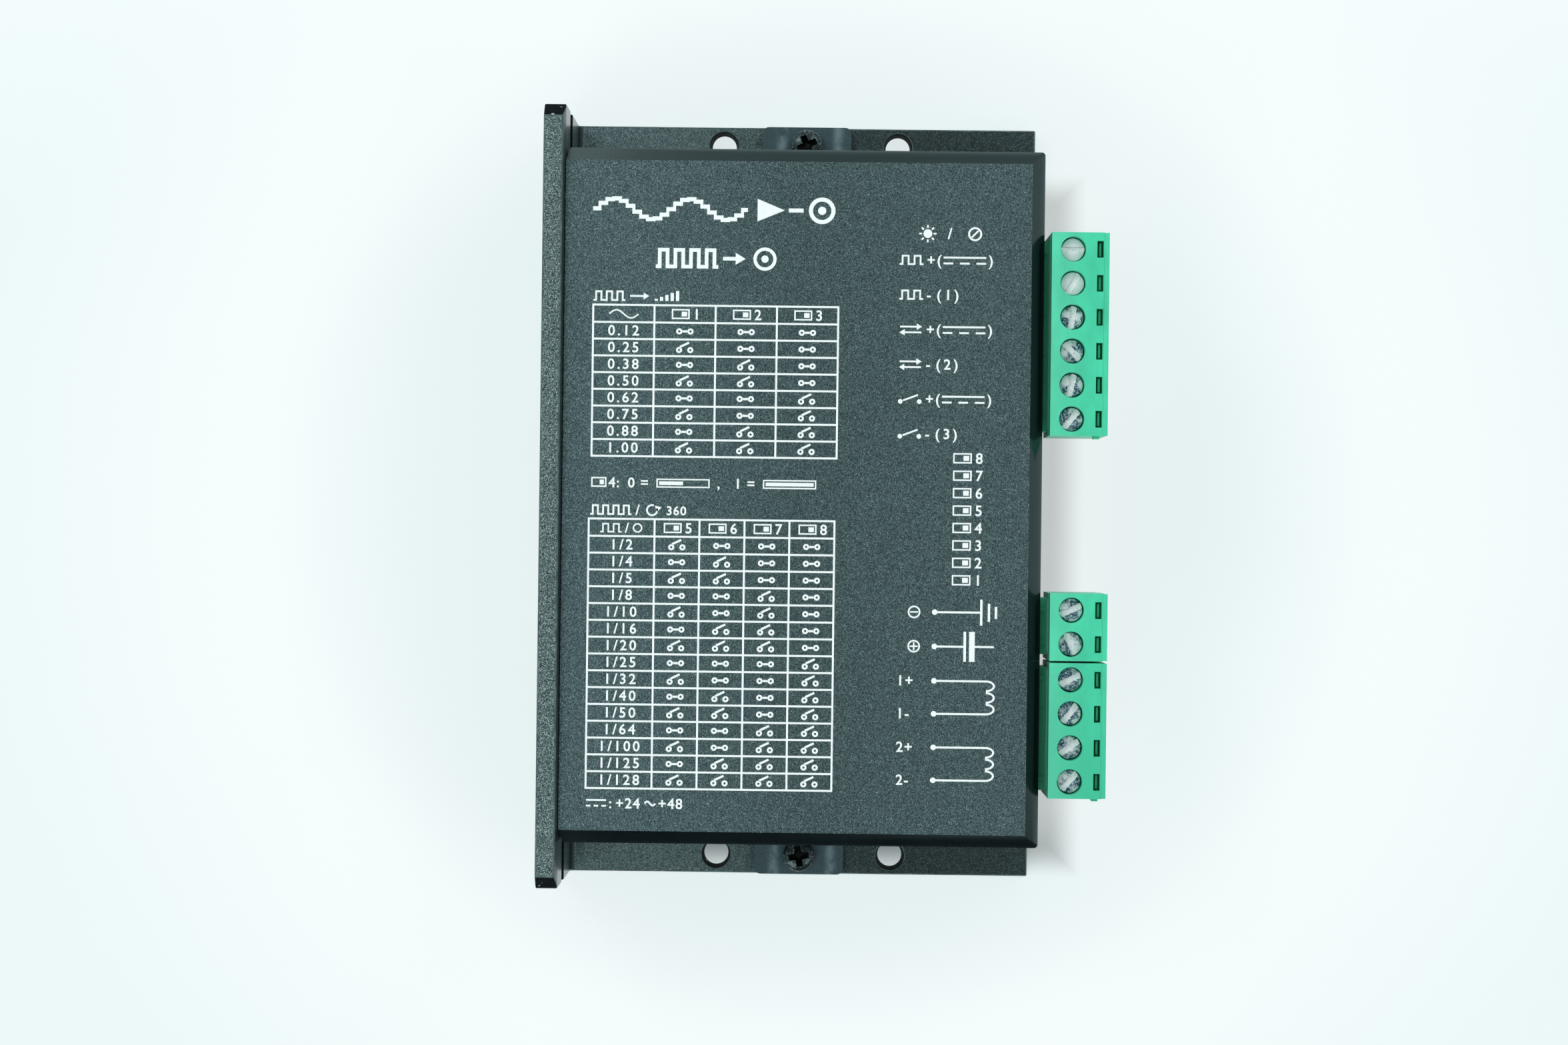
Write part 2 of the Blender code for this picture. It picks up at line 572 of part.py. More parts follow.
def make_status_light(finish):
    back, tip = LIGHT_X
    dome = arc((0, tip - LIGHT_R), LIGHT_R, 90, 0, 5)
    profile = dome + [(LIGHT_R, back + 0.9), (LIGHT_R + 0.4, back + 0.9), (LIGHT_R + 0.4, back), (0, back)]
    lens = bmesh.new()
    add_turned(lens, [(max(r, 0), h) for r, h in profile], 12)
    bmesh.ops.rotate(lens, cent=(0, 0, 0), matrix=Matrix.Rotation(math.pi / 2, 3, "Y"), verts=lens.verts)
    leads = bmesh.new()
    for y in (-1.27, 1.27):
        drop = [(back + 0.3, 0.25), (back - 0.9, 0.25), (back - 0.9, SEAT - LIGHT_Z),
                (back - 0.4, SEAT - LIGHT_Z), (back - 0.4, -0.25), (back + 0.3, -0.25)]
        add_prism(leads, drop, 1, y - 0.25, y + 0.25)
    mesh = in_frame(shape("status_light", lens, ("UNION", leads)))
    place("status_light", mesh, finish, (MIDDLE_X, LIGHT_Y, LIGHT_Z))


def main():
    clear_scene()
    anodised = material("black_anodised", (0.035, 0.042, 0.045), 0.55, 0.6)
    powder = material("black_powder_coat", (0.045, 0.06, 0.063), 0.6)
    black_screw = material("black_screw", (0.03, 0.03, 0.032), 0.4, 0.8)
    steel = material("zinc_steel", (0.62, 0.65, 0.68), 0.3, 1.0)
    green = material("terminal_green", (0.05, 0.5, 0.27), 0.4)
    make_heatsink(anodised)
    make_cover(powder)
    make_fixings(black_screw, steel)
    make_board(material("board_green", (0.02, 0.16, 0.07), 0.45))
    make_power_stage(material("pad_grey", (0.45, 0.47, 0.5), 0.8),
                     material("package_black", (0.02, 0.02, 0.02), 0.5),
                     material("can_sleeve", (0.03, 0.03, 0.05), 0.35),
                     material("copper_winding", (0.55, 0.2, 0.07), 0.35, 0.8))
    make_signal_chips(material("chip_black", (0.02, 0.02, 0.022), 0.5))
    make_terminals(green, steel, material("clamp_nickel", (0.7, 0.68, 0.62), 0.3, 1.0))
    make_switches(material("switch_red", (0.45, 0.02, 0.02), 0.45),
                  material("slider_white", (0.85, 0.85, 0.82), 0.5))
    make_status_light(material("light_lens", (0.1, 0.75, 0.2), 0.2))


main()
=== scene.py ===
# Looks of a stepper driver module. Shapes are drawn in millimetres in the frame's own axes and scaled
# to metres at the end. X sizes are given from the heatsink wall's outer face, Y from the middle and Z
# from the base.

import json
from math import asin, copysign, cos, degrees, hypot, pi, radians, sin, tan, tau

import bmesh
import bpy
from mathutils import Matrix, Vector

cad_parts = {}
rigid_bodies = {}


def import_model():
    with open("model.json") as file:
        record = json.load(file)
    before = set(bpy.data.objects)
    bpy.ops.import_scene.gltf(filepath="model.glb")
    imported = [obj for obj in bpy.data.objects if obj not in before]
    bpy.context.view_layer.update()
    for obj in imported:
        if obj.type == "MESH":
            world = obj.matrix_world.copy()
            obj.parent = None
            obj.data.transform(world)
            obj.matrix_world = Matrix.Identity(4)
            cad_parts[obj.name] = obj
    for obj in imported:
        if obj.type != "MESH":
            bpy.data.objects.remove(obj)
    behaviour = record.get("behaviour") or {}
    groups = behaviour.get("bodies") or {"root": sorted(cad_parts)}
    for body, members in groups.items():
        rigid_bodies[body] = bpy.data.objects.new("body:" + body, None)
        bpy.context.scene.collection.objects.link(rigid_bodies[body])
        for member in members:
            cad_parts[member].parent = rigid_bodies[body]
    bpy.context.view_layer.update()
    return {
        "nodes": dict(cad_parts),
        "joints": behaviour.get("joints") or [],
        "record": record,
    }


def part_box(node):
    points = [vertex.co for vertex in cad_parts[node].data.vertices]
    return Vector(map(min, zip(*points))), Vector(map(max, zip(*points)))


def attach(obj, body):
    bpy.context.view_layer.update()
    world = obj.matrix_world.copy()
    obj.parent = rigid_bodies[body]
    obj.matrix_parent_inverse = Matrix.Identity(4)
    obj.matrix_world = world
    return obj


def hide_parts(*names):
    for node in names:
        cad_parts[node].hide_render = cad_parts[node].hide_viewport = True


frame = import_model()
MM = 0.001


def box(node):
    """A CAD node's lowest and highest corners, in millimetres."""
    low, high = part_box(node)
    return low / MM, high / MM


# Driving places, read from the frame
WALL = box("heatsink")[0].x
LENGTH = box("heatsink")[1].y * 2
BASE_RIGHT = box("heatsink")[1].x - WALL
WALL_TOP = box("heatsink")[1].z
COVER_LEFT = box("cover")[0].x - WALL
COVER_RIGHT = box("cover")[1].x - WALL
COVER_TOP = box("cover")[1].z
COVER_FOOT = box("cover")[0].z
AXES = {joint["child"]: Vector(joint["pos_m"]) / MM for joint in frame["joints"] if "pos_m" in joint}
PLUGS = {"control": 6, "power": 2, "motor": 4}

# Heatsink
BASE_THICK = 3.2
WALL_THICK = 3.3
WALL_TOP_THICK = 2.92
WALL_SLANT = 1.4
GROOVE = (18.3, 22.8)
GROOVE_BACK = 1.9
FOOT_FILLET = 1.0
END_CHAMFER = 1.8
FIXING_Y = 56.0
MOUNT_HOLES = (26.3, 53.8)
MOUNT_R = 2.2
CLEAR_R = 1.7
POST = (60.0, 45.5)
BRIDGE_HOLES = ((14.0, 9.5), (-14.0, 9.5))
HEAT_EDGE = 0.22

# Cover
SHEET = 1.0
COVER_Y = 0.25
COVER_HALF_Y = 52.4
FOLD = 2.0
END_SLANT = 0.55                 # how far the end walls stand back from the flat top's left edge
CORNER = 0.55                    # round of the upright corners
TAB = (39.4, 14.0, 1.0)          # middle, width and corner radius
WINDOW_Y = (-45.4, 41.5)
WINDOW_Z = (20.2, 29.2)
LIGHT = (45.0, 25.0)
LIGHT_HOLE_R = 1.85
COVER_EDGE = 0.14

# Terminals, measured from a plug tower's rear face
PITCH = 5.08
TOWER_DEEP = 8.6
NOSE_INSET = 0.8
NOSE_Z = (2.6, 8.2)
SOCKET_HALF = 1.1
SOCKET_Z = (3.9, 6.5)
SCREW_AXIS = 3.23
WELL_R = 1.9
WELL_FLOOR = 11.2
NECK_R = 1.6
NECK_Z = (9.9, 11.7)
CHAMBER_X = (1.2, 6.4)
CHAMBER_HALF = 2.1
CHAMBER_Z = (1.1, 10.4)
ENTRY = (1.5, 1.9, 5.6)          # half width, low and high
TEST_SLOT = (6.76, 7.73, 1.25)   # from, to, half length
SLOT_DEEP, TONGUE_DEEP = 2.4, 1.05
PARTING = 7.85
SLOT_TURNS = {"control": (0, 60, 82, 135, 77, 51), "power": (25, 114), "motor": (27, 52, 35, 49)}
SCREW_R = 1.75
SLOT_WIDE = 0.88
CUT, JOIN = "DIFFERENCE", "UNION"


# Mesh building: every function adds closed shells, in millimetres, to a bmesh

def add_box(bm, x, y, z):
    """A box from three (low, high) pairs."""
    middle = Vector([sum(pair) / 2 for pair in (x, y, z)])
    size = [pair[1] - pair[0] for pair in (x, y, z)]
    bmesh.ops.create_cube(bm, size=1, matrix=Matrix.Translation(middle) @ Matrix.Diagonal((*size, 1)))


def add_rod(bm, start, end, radius, far_radius=None, sides=64):
    """A cylinder or a cone between two points."""
    start, end = Vector(start), Vector(end)
    turn = (end - start).to_track_quat("Z", "Y").to_matrix().to_4x4()
    far_radius = radius if far_radius is None else far_radius
    bmesh.ops.create_cone(bm, cap_ends=True, segments=sides, radius1=radius, radius2=far_radius,
                          depth=(end - start).length, matrix=Matrix.Translation((start + end) / 2) @ turn)


def add_prism(bm, outline, axis, low, high):
    """A flat outline carried along one axis; the outline gives the other two coordinates in order."""
    across = [i for i in range(3) if i != axis]
    ends = []
    for level in (low, high):
        ring = []
        for point in outline:
            place = [level] * 3
            for i, value in zip(across, point):
                place[i] = value
            ring.append(bm.verts.new(place))
        ends.append(ring)
    bm.faces.new(ends[0])
    bm.faces.new(reversed(ends[1]))
    for i in range(len(outline)):
        j = (i + 1) % len(outline)
        bm.faces.new((ends[0][i], ends[0][j], ends[1][j], ends[1][i]))


def add_hull(bm, points):
    """The convex solid around the points."""
    verts = [bm.verts.new(point) for point in points]
    bmesh.ops.convex_hull(bm, input=verts)
    bmesh.ops.dissolve_limit(bm, angle_limit=radians(1), verts=bm.verts, edges=bm.edges)


def add_turned(bm, profile, sides=64):
    """A solid turned about Z from (radius, height) points that start and end on the axis."""
    verts = [bm.verts.new((radius, 0, height)) for radius, height in profile]
    edges = [bm.edges.new(pair) for pair in zip(verts, verts[1:])]
    bmesh.ops.spin(bm, geom=verts + edges, cent=(0, 0, 0), axis=(0, 0, 1), angle=tau, steps=sides)
    bmesh.ops.remove_doubles(bm, verts=bm.verts, dist=0.001)


def shells(add, *arguments, **named):
    """A new bmesh filled by one of the functions above."""
    bm = bmesh.new()
    add(bm, *arguments, **named)
    return bm


def arc(centre, radius, first, last, steps):
    """Points on an arc, with its angles in degrees."""
    angles = [radians(first + (last - first) * i / steps) for i in range(steps + 1)]
    return [(centre[0] + radius * cos(a), centre[1] + radius * sin(a)) for a in angles]


def dome(radius, top, drop):
    """The points of a rounded top for add_turned."""
    return [(radius * sin(a), top - drop * (1 - cos(a))) for a in (radians(10 * i) for i in range(10))]


def show(name, data):
    """A new object in the scene."""
    obj = bpy.data.objects.new(name, data)
    bpy.context.scene.collection.objects.link(obj)
    return obj


def link(name, bm):
    """An object of a bmesh, still in millimetres, smooth-shaded with its faces pointing out."""
    bmesh.ops.recalc_face_normals(bm, faces=bm.faces)
    mesh = bpy.data.meshes.new(name)
    bm.to_mesh(mesh)
    bm.free()
    mesh.shade_smooth()
    return show(name, mesh)


def applied(obj):
    """An object's mesh with its modifiers applied."""
    return bpy.data.meshes.new_from_object(obj.evaluated_get(bpy.context.evaluated_depsgraph_get()))


def round_edges(obj, width, angle):
    """Rounds the edges sharper than the angle, with the faces beside them still looking flat."""
    bevel = obj.modifiers.new("Edges", "BEVEL")
    bevel.width = width
    bevel.segments = 2
    bevel.limit_method = "ANGLE"
    bevel.angle_limit = radians(angle)
    obj.modifiers.new("Weights", "WEIGHTED_NORMAL").keep_sharp = True
    return bevel


def solid(name, body, *steps, edge=0.0):
    """A mesh in metres: the body after each (operation, bmesh) step, with its edges rounded.
    The rounded faces take the second material."""
    obj = link(name, body)
    tools = []
    for operation, bm in steps:
        tools.append(link(name + "_tool", bm))
        boolean = obj.modifiers.new(operation.title(), "BOOLEAN")
        boolean.operation = operation
        boolean.solver = "EXACT"
        boolean.use_self = True
        boolean.object = tools[-1]
    if edge:
        round_edges(obj, edge, 28).material = 1
        for _ in range(2):
            obj.data.materials.append(None)
    mesh = applied(obj)
    bpy.data.batch_remove([obj, *tools])
    mesh.name = name
    mesh.transform(Matrix.Scale(MM, 4))
    if not edge:
        mesh.set_sharp_from_angle(angle=radians(30))
    return mesh


def paint(mesh, index, chosen=lambda at, normal: True):
    """Gives a material index to the faces whose middle, in millimetres, and normal are chosen."""
    for face in mesh.polygons:
        if chosen(face.center / MM, face.normal):
            face.material_index = index
    return mesh


def piece(name, mesh, looks, body, replaces=(), at=(0, 0, 0), turn=0.0):
    """A visible piece that rides on a CAD body, placed in millimetres and turned about Z in degrees."""
    mesh.transform(Matrix.Translation(Vector(at) * MM) @ Matrix.Rotation(radians(turn), 4, "Z"))
    indices = [face.material_index for face in mesh.polygons]
    mesh.materials.clear()
    for i in range(max(indices) + 1):
        mesh.materials.append(looks[min(i, len(looks) - 1)])
    mesh.polygons.foreach_set("material_index", indices)
    obj = show(name, mesh)
    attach(obj, body)
    if replaces:
        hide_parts(*replaces)


# Materials

COOL = (0.7, 1.0, 1.0, 1)       # the cool tint of the black coats' shine


class Nodes:
    """Short ways to add nodes to a tree and join them."""

    def __init__(self, tree):
        self.tree = tree

    def node(self, kind, values=(), **settings):
        made = self.tree.nodes.new("ShaderNode" + kind)
        for key, value in settings.items():
            setattr(made, key, value)
        for key, value in dict(values).items():
            self.feed(made.inputs[key], value)
        return made

    def feed(self, socket, value):
        if isinstance(value, bpy.types.NodeSocket):
            self.tree.links.new(value, socket)
        else:
            socket.default_value = value

    def place(self, axis):
        """The piece's own x, y or z coordinate in metres, or the sky's direction."""
        return self.node("SeparateXYZ", {"Vector": self.coordinates}).outputs[axis]

    def levels(self, value, low, high, to_low=0.0, to_high=1.0):
        """Maps a value's range to another range, smoothly and within its ends."""
        made = self.node("MapRange", {"Value": value, "From Min": low, "From Max": high,
                                      "To Min": to_low, "To Max": to_high})
        made.interpolation_type = "SMOOTHSTEP"
        return made.outputs["Result"]

    def vary(self, noise, low, high):
        """A number between two ends that follows a noise."""
        return self.levels(noise, 0.3, 0.7, low, high)

    def math(self, operation, a, b):
        return self.node("Math", {0: a, 1: b}, operation=operation).outputs["Value"]

    def times(self, a, b):
        return self.math("MULTIPLY", a, b)


class Surface(Nodes):
    """A Principled material whose pattern follows the piece's own coordinates."""

    def __init__(self, name, metallic=0.0, specular=0.5, cool=False):
        self.material = bpy.data.materials.new(name)
        self.material.use_nodes = True
        super().__init__(self.material.node_tree)
        self.shader = self.tree.nodes["Principled BSDF"]
        self.shader.inputs["Metallic"].default_value = metallic
        self.shader.inputs["Specular IOR Level"].default_value = specular
        if cool:
            self.shader.inputs["Specular Tint"].default_value = COOL
        self.coordinates = self.node("TexCoord").outputs["Object"]

    def noise(self, size, detail=2.0, rough=0.5, stretch=(1, 1, 1)):
        """Cloudy noise with spots of about the given size in millimetres."""
        spread = self.node("Mapping", {"Vector": self.coordinates, "Scale": stretch})
        return self.node("TexNoise", {"Vector": spread.outputs["Vector"], "Scale": 1 / (size * MM),
                                      "Detail": detail, "Roughness": rough}).outputs["Fac"]

    def sand(self, fine, coarse):
        """Hard-edged grains, each with its own shade, over coarser cloudy noise."""
        cells = self.node("TexVoronoi", {"Vector": self.coordinates, "Scale": 1 / (fine * MM)})
        shade = self.node("SeparateColor", {"Color": cells.outputs["Color"]}).outputs["Red"]
        return self.math("ADD", self.times(shade, 0.62), self.times(self.noise(coarse, 3.0, 0.7), 0.76))

    def ramp(self, value, *stops):
        """Colours at places along a value."""
        made = self.node("ValToRGB", {"Fac": value})
        elements = made.color_ramp.elements
        while len(elements) < len(stops):
            elements.new(0.5)
        for element, (place, colour) in zip(elements, stops):
            element.position = place
            element.color = (*colour, 1)
        return made.outputs["Color"]

    def mix(self, share, a, b, blend="MIX"):
        made = self.node("Mix", data_type="RGBA", blend_type=blend)
        self.feed(made.inputs["Factor"], share)
        colours = [socket for socket in made.inputs if socket.type == "RGBA"]
        for socket, value in zip(colours, (a, b)):
            self.feed(socket, (*value, 1) if isinstance(value, tuple) else value)
        return [socket for socket in made.outputs if socket.type == "RGBA"][0]

    def upward(self):
        """1 on faces that look up, 0 on faces tilted by 30 degrees or more."""
        normal = self.node("NewGeometry").outputs["Normal"]
        height = self.node("SeparateXYZ", {"Vector": normal}).outputs["Z"]
        return self.levels(height, 0.88, 0.97)

    def coat(self, grain, side, top, rough, gloss):
        """Finishes a grained coat that is smoother, by the factor gloss, where it doesn't look up. Faces that
        look up take the top colour, whose light grains are partly painted glints; the other faces take the
        plain colour.
        """
        return self.finish(self.mix(self.upward(), side, top), self.times(
            self.levels(grain, 0.4, 0.9, *rough), self.levels(self.upward(), 0, 1, gloss, 1.0)))

    def bump(self, height, strength, distance=0.02):
        made = self.node("Bump", {"Height": height, "Strength": strength, "Distance": distance * MM})
        self.feed(self.shader.inputs["Normal"], made.outputs["Normal"])

    def finish(self, colour, roughness):
        self.feed(self.shader.inputs["Base Color"], (*colour, 1) if isinstance(colour, tuple) else colour)
        self.feed(self.shader.inputs["Roughness"], roughness)
        return self.material


def tinted(colour, factor):
    return tuple(channel * factor for channel in colour)


def powder_coat():
    """Black powder coat: fine light grains on the top, smooth folds, rubbed beside the tab screws. The light
    grains are partly painted glints, and the top is painted lighter at its left and darker in its middle as a
    painted reflection.
    """
    s = Surface("powder_coat", specular=1.0, cool=True)
    grain = s.sand(0.075, 0.18)
    cloud = s.noise(9.0, 3.0)
    speckle_with_painted_light = s.ramp(grain, (0.38, (0.025, 0.04, 0.045)), (0.72, (0.036, 0.06, 0.067)),
                     (0.9, (0.093, 0.143, 0.153)), (1.0, (0.265, 0.357, 0.362)))
    # Painted reflection: the top's grains are made lightest at the left, darkest in the middle and a little
    # lighter at the right.
    across = s.ramp(s.levels(s.place("X"), -0.042, 0.036), (0.05, (1.0, 1.0, 1.0)), (0.5, (0.74, 0.74, 0.74)),
                    (0.95, (0.86, 0.86, 0.86)))
    speckle_with_painted_light = s.mix(1.0, speckle_with_painted_light, across, "MULTIPLY")
    plain = s.ramp(cloud, (0.3, (0.003, 0.006, 0.007)), (0.7, (0.005, 0.009, 0.011)))
    away = s.math("ABSOLUTE", s.math("SUBTRACT", s.place("X"), (WALL + TAB[0] + 0.5) * MM), 0)
    rub = s.times(s.levels(away, 0.0032, 0.0044), s.levels(away, 0.0044, 0.0058, 1.0, 0.0))
    low = s.levels(s.place("Z"), 0.0046, 0.005, 1.0, 0.0)
    tab = s.mix(s.times(rub, s.levels(s.noise(2.2, 3.0), 0.3, 0.6)), (0.043, 0.073, 0.086),
                (0.17, 0.24, 0.255))
    top = s.mix(low, speckle_with_painted_light, tab)
    s.bump(grain, 0.14)
    return s.coat(grain, plain, top, (0.24, 0.4), 0.5)


def worn(name, rub_size, nick_size, coat, rubbed, nicked, dent, bare, rough):
    """A black finish rubbed thin along edges, with a few bare nicks."""
    s = Surface(name, specular=0.5, cool=True)
    rub, nick = s.noise(rub_size, 4.0, 0.7), s.noise(nick_size, 2.0)
    share = s.times(s.levels(rub, *rubbed), s.levels(nick, *nicked))
    s.bump(nick, *dent)
    return s.finish(s.mix(share, s.ramp(rub, *coat), bare), s.vary(rub, *rough))


def anodised():
    """Sandblasted, black anodised aluminium: a coarser, brighter grain than the cover's. The base is painted
    lighter on its left, by the wall, and darker on its right, as painted light and shade.
    """
    s = Surface("anodised", specular=0.6, cool=True)
    grain = s.sand(0.09, 0.22)
    cloud = s.noise(14.0, 3.0)
    bright = s.ramp(grain, (0.42, (0.012, 0.02, 0.022)), (0.7, (0.05, 0.079, 0.082)),
                    (0.88, (0.175, 0.24, 0.238)), (1.0, (0.46, 0.54, 0.54)))
    lit_grain = s.ramp(grain, (0.42, (0.038, 0.063, 0.068)), (0.75, (0.103, 0.16, 0.17)),
                  (1.0, (0.32, 0.41, 0.41)))
    shaded_grain = s.ramp(grain, (0.42, (0.004, 0.007, 0.009)), (0.8, (0.01, 0.016, 0.019)),
                  (1.0, (0.08, 0.096, 0.092)))
    plain = s.ramp(cloud, (0.3, (0.01, 0.017, 0.019)), (0.7, (0.015, 0.023, 0.026)))
    # Painted light and shade across the base: lighter grain on the left, darker grain on the right.
    painted_light_share = s.levels(s.place("X"), -0.034, 0.014, 0.95, 0.08)
    base = s.mix(painted_light_share, shaded_grain, lit_grain)
    # The wall's top, above 30 mm, takes the brighter grain; below 10 mm the base takes its painted light and
    # shade.
    level = s.mix(s.levels(s.place("Z"), 0.01, 0.03), base, bright)
    s.bump(grain, 0.35)
    return s.coat(grain, plain, level, (0.28, 0.45), 0.6)


def cut_anodised():
    """The milled ends of the extrusion's wall: black and smooth. On the hole bores and the groove the same
    near-black is painted shade.
    """
    s = Surface("cut_anodised", specular=0.03)
    mark = s.noise(0.5, 3.0, 0.6, stretch=(0.2, 1, 1))
    chip = s.times(s.levels(s.noise(0.9, 3.0), 0.66, 0.7), s.levels(s.noise(2.5), 0.55, 0.62))
    s.bump(mark, 0.15)
    tone = s.ramp(mark, (0.35, (0.004, 0.006, 0.007)), (0.7, (0.01, 0.014, 0.016)))
    return s.finish(s.mix(chip, tone, (0.7, 0.75, 0.76)), s.vary(mark, 0.55, 0.75))


def terminal_green(name="terminal_green", colour=(0.062, 0.64, 0.385)):
    """Satin moulded plastic with faint flow marks and fine dust. It is painted darker towards the front as
    painted shade, and paler towards the left as a painted sheen.
    """
    s = Surface(name, specular=0.45)
    flow = s.noise(3.0, 3.0, 0.6, stretch=(1, 0.45, 1))
    grain = s.noise(0.12, 2.0)
    tone = s.ramp(flow, (0.3, tinted(colour, 0.86)), (0.7, tinted(colour, 1.08)))
    # Painted shade: the green is darker towards the front, below Y -18 mm.
    tone = s.mix(s.levels(s.place("Y"), -0.045, -0.018, 0.8, 0.0), tone, tinted(colour, 0.8))
    dust = s.levels(s.noise(0.35, 2.0, 0.6), 0.7, 0.76, 0.0, 0.35)
    s.bump(grain, 0.12)
    s.shader.inputs["Subsurface Weight"].default_value = 0.08
    s.shader.inputs["Subsurface Scale"].default_value = 0.0006
    s.shader.inputs["Subsurface Radius"].default_value = (0.3, 1.0, 0.6)
    # Real dust spots, and a painted sheen that makes the green paler towards the left, below X 40 mm.
    dust_and_sheen = s.math("MAXIMUM", dust, s.levels(s.place("X"), 0.0325, 0.04, 0.13, 0.0))
    return s.finish(s.mix(dust_and_sheen, tone, (0.35, 0.78, 0.6)), s.vary(grain, 0.36, 0.5))


def zinc(name="zinc_steel", dark=0.5):
    """Bright zinc plate with dark, glossy blue-grey patches; dark says how much of it is patched. The dark
    navy patches and their light streaks are painted reflections.
    """
    s = Surface(name, metallic=0.12 if dark > 0 else 0.0)
    mottle = s.noise(1.5, 2.0, 0.5)
    fine = s.noise(0.26, 4.0, 0.72)
    clean = s.ramp(fine, (0.3, (0.92, 0.85, 0.98)), (0.65, (1.0, 0.93, 1.0)))
    # Painted reflections: dark navy patches with light streaks.
    patch = s.ramp(fine, (0.4, (0.022, 0.046, 0.09)), (0.53, (0.1, 0.17, 0.27)), (0.6, (0.84, 0.92, 1.0)))
    painted_reflection_share = s.levels(mottle, 0.48 - 0.22 * dark, 0.66 - 0.22 * dark)
    s.bump(fine, 0.2 if dark > 0 else 0.05, 0.03)
    return s.finish(s.mix(painted_reflection_share, clean, patch), s.levels(mottle, 0.35, 0.65, 0.36, 0.22))


def milled_zinc():
    """The burnished floor and walls of a driver slot."""
    s = Surface("milled_zinc", metallic=0.0, specular=1.0)
    rub = s.noise(0.35, 3.0, 0.6)
    s.bump(rub, 0.08)
    return s.finish(s.ramp(rub, (0.34, (0.7, 0.72, 0.8)), (0.46, (1.0, 0.96, 1.0))),
                    s.vary(rub, 0.25, 0.4))


def plain_metal(name, colour, rough=(0.25, 0.45)):
    s = Surface(name, metallic=1.0)
    mottle = s.noise(0.4, 3.0, 0.6)
    tone = s.ramp(mottle, (0.3, tinted(colour, 0.85)), (0.7, tinted(colour, 1.12)))
    s.bump(mottle, 0.15)
    return s.finish(tone, s.vary(mottle, *rough))


def black_screw():
    """Black zinc with a turned head's shine and bright rubbed marks from a driver."""
    s = Surface("black_screw", metallic=0.3, specular=0.5, cool=True)
    mark = s.noise(0.3, 4.0, 0.8)
    patch = s.noise(1.3, 2.0)
    tone = s.ramp(mark, (0.42, (0.008, 0.012, 0.014)), (0.57, (0.04, 0.056, 0.06)),
                  (0.64, (0.5, 0.6, 0.62)))
    s.bump(mark, 0.35, 0.04)
    return s.finish(s.mix(s.levels(patch, 0.4, 0.54), (0.014, 0.02, 0.023), tone),
                    s.levels(mark, 0.35, 0.7, 0.16, 0.32))


def black_recess():
    """The unlit inside of a cross recess."""
    s = Surface("black_recess", specular=0.2)
    mark = s.noise(0.2, 3.0, 0.7)
    s.bump(mark, 0.3, 0.03)
    tone = s.ramp(mark, (0.4, (0.002, 0.003, 0.003)), (0.72, (0.01, 0.013, 0.014)),
                  (0.78, (0.2, 0.25, 0.25)))
    return s.finish(tone, s.vary(mark, 0.4, 0.6))


def moulded(name, colour, rough=(0.4, 0.55), spread=0.1):
    """Moulded plastic, rubber or epoxy with a fine grain and slight shade changes."""
    s = Surface(name)
    fine = s.noise(0.15)
    cloud = s.noise(4.0, 3.0)
    tone = s.ramp(cloud, (0.3, tinted(colour, 1 - spread)), (0.7, tinted(colour, 1 + spread)))
    s.bump(fine, 0.12)
    return s.finish(tone, s.vary(fine, *rough))


def ink():
    """White screen print, a little thin in places."""
    s = Surface("print_white", specular=0.3)
    thin = s.noise(0.22, 3.0, 0.7)
    tone = s.ramp(thin, (0.25, (0.72, 0.79, 0.79)), (0.45, (0.93, 0.97, 0.97)))
    s.bump(thin, 0.1, 0.01)
    return s.finish(tone, s.vary(thin, 0.5, 0.65))


def board_mask():
    """Green solder mask over traces that show as slightly raised, lighter lines."""
    s = Surface("board_green", specular=0.55)
    lanes = s.node("TexBrick", {"Vector": s.coordinates, "Scale": 1 / (2.4 * MM), "Mortar Size": 0.12,
                                "Color1": (0, 0, 0, 1), "Color2": (0.1, 0.1, 0.1, 1), "Mortar": (1, 1, 1, 1)})
    tone = s.mix(lanes.outputs["Fac"], (0.01, 0.11, 0.045), (0.022, 0.2, 0.085))
    s.bump(lanes.outputs["Fac"], 0.2)
    return s.finish(tone, s.levels(s.noise(0.4), 0.3, 0.7, 0.25, 0.4))


def winding():
    """Enamelled copper turns round the choke's ring."""
    s = Surface("copper_winding", metallic=0.8)
    turns = s.node("TexWave", {"Vector": s.coordinates, "Scale": 1 / (3.4 * MM), "Distortion": 0.6},
                   bands_direction="DIAGONAL").outputs["Fac"]
    s.bump(turns, 0.8, 0.2)
    return s.finish(s.ramp(turns, (0.1, (0.18, 0.05, 0.015)), (0.6, (0.62, 0.24, 0.08))), 0.32)


def lens():
    """Tinted clear epoxy."""
    s = Surface("light_lens", specular=0.6)
    s.shader.inputs["Transmission Weight"].default_value = 0.7
    s.shader.inputs["IOR"].default_value = 1.5
    cloud = s.noise(0.6, 2.0)
    return s.finish(s.ramp(cloud, (0.3, (0.1, 0.7, 0.2)), (0.7, (0.16, 0.85, 0.28))),
                    s.vary(cloud, 0.08, 0.2))


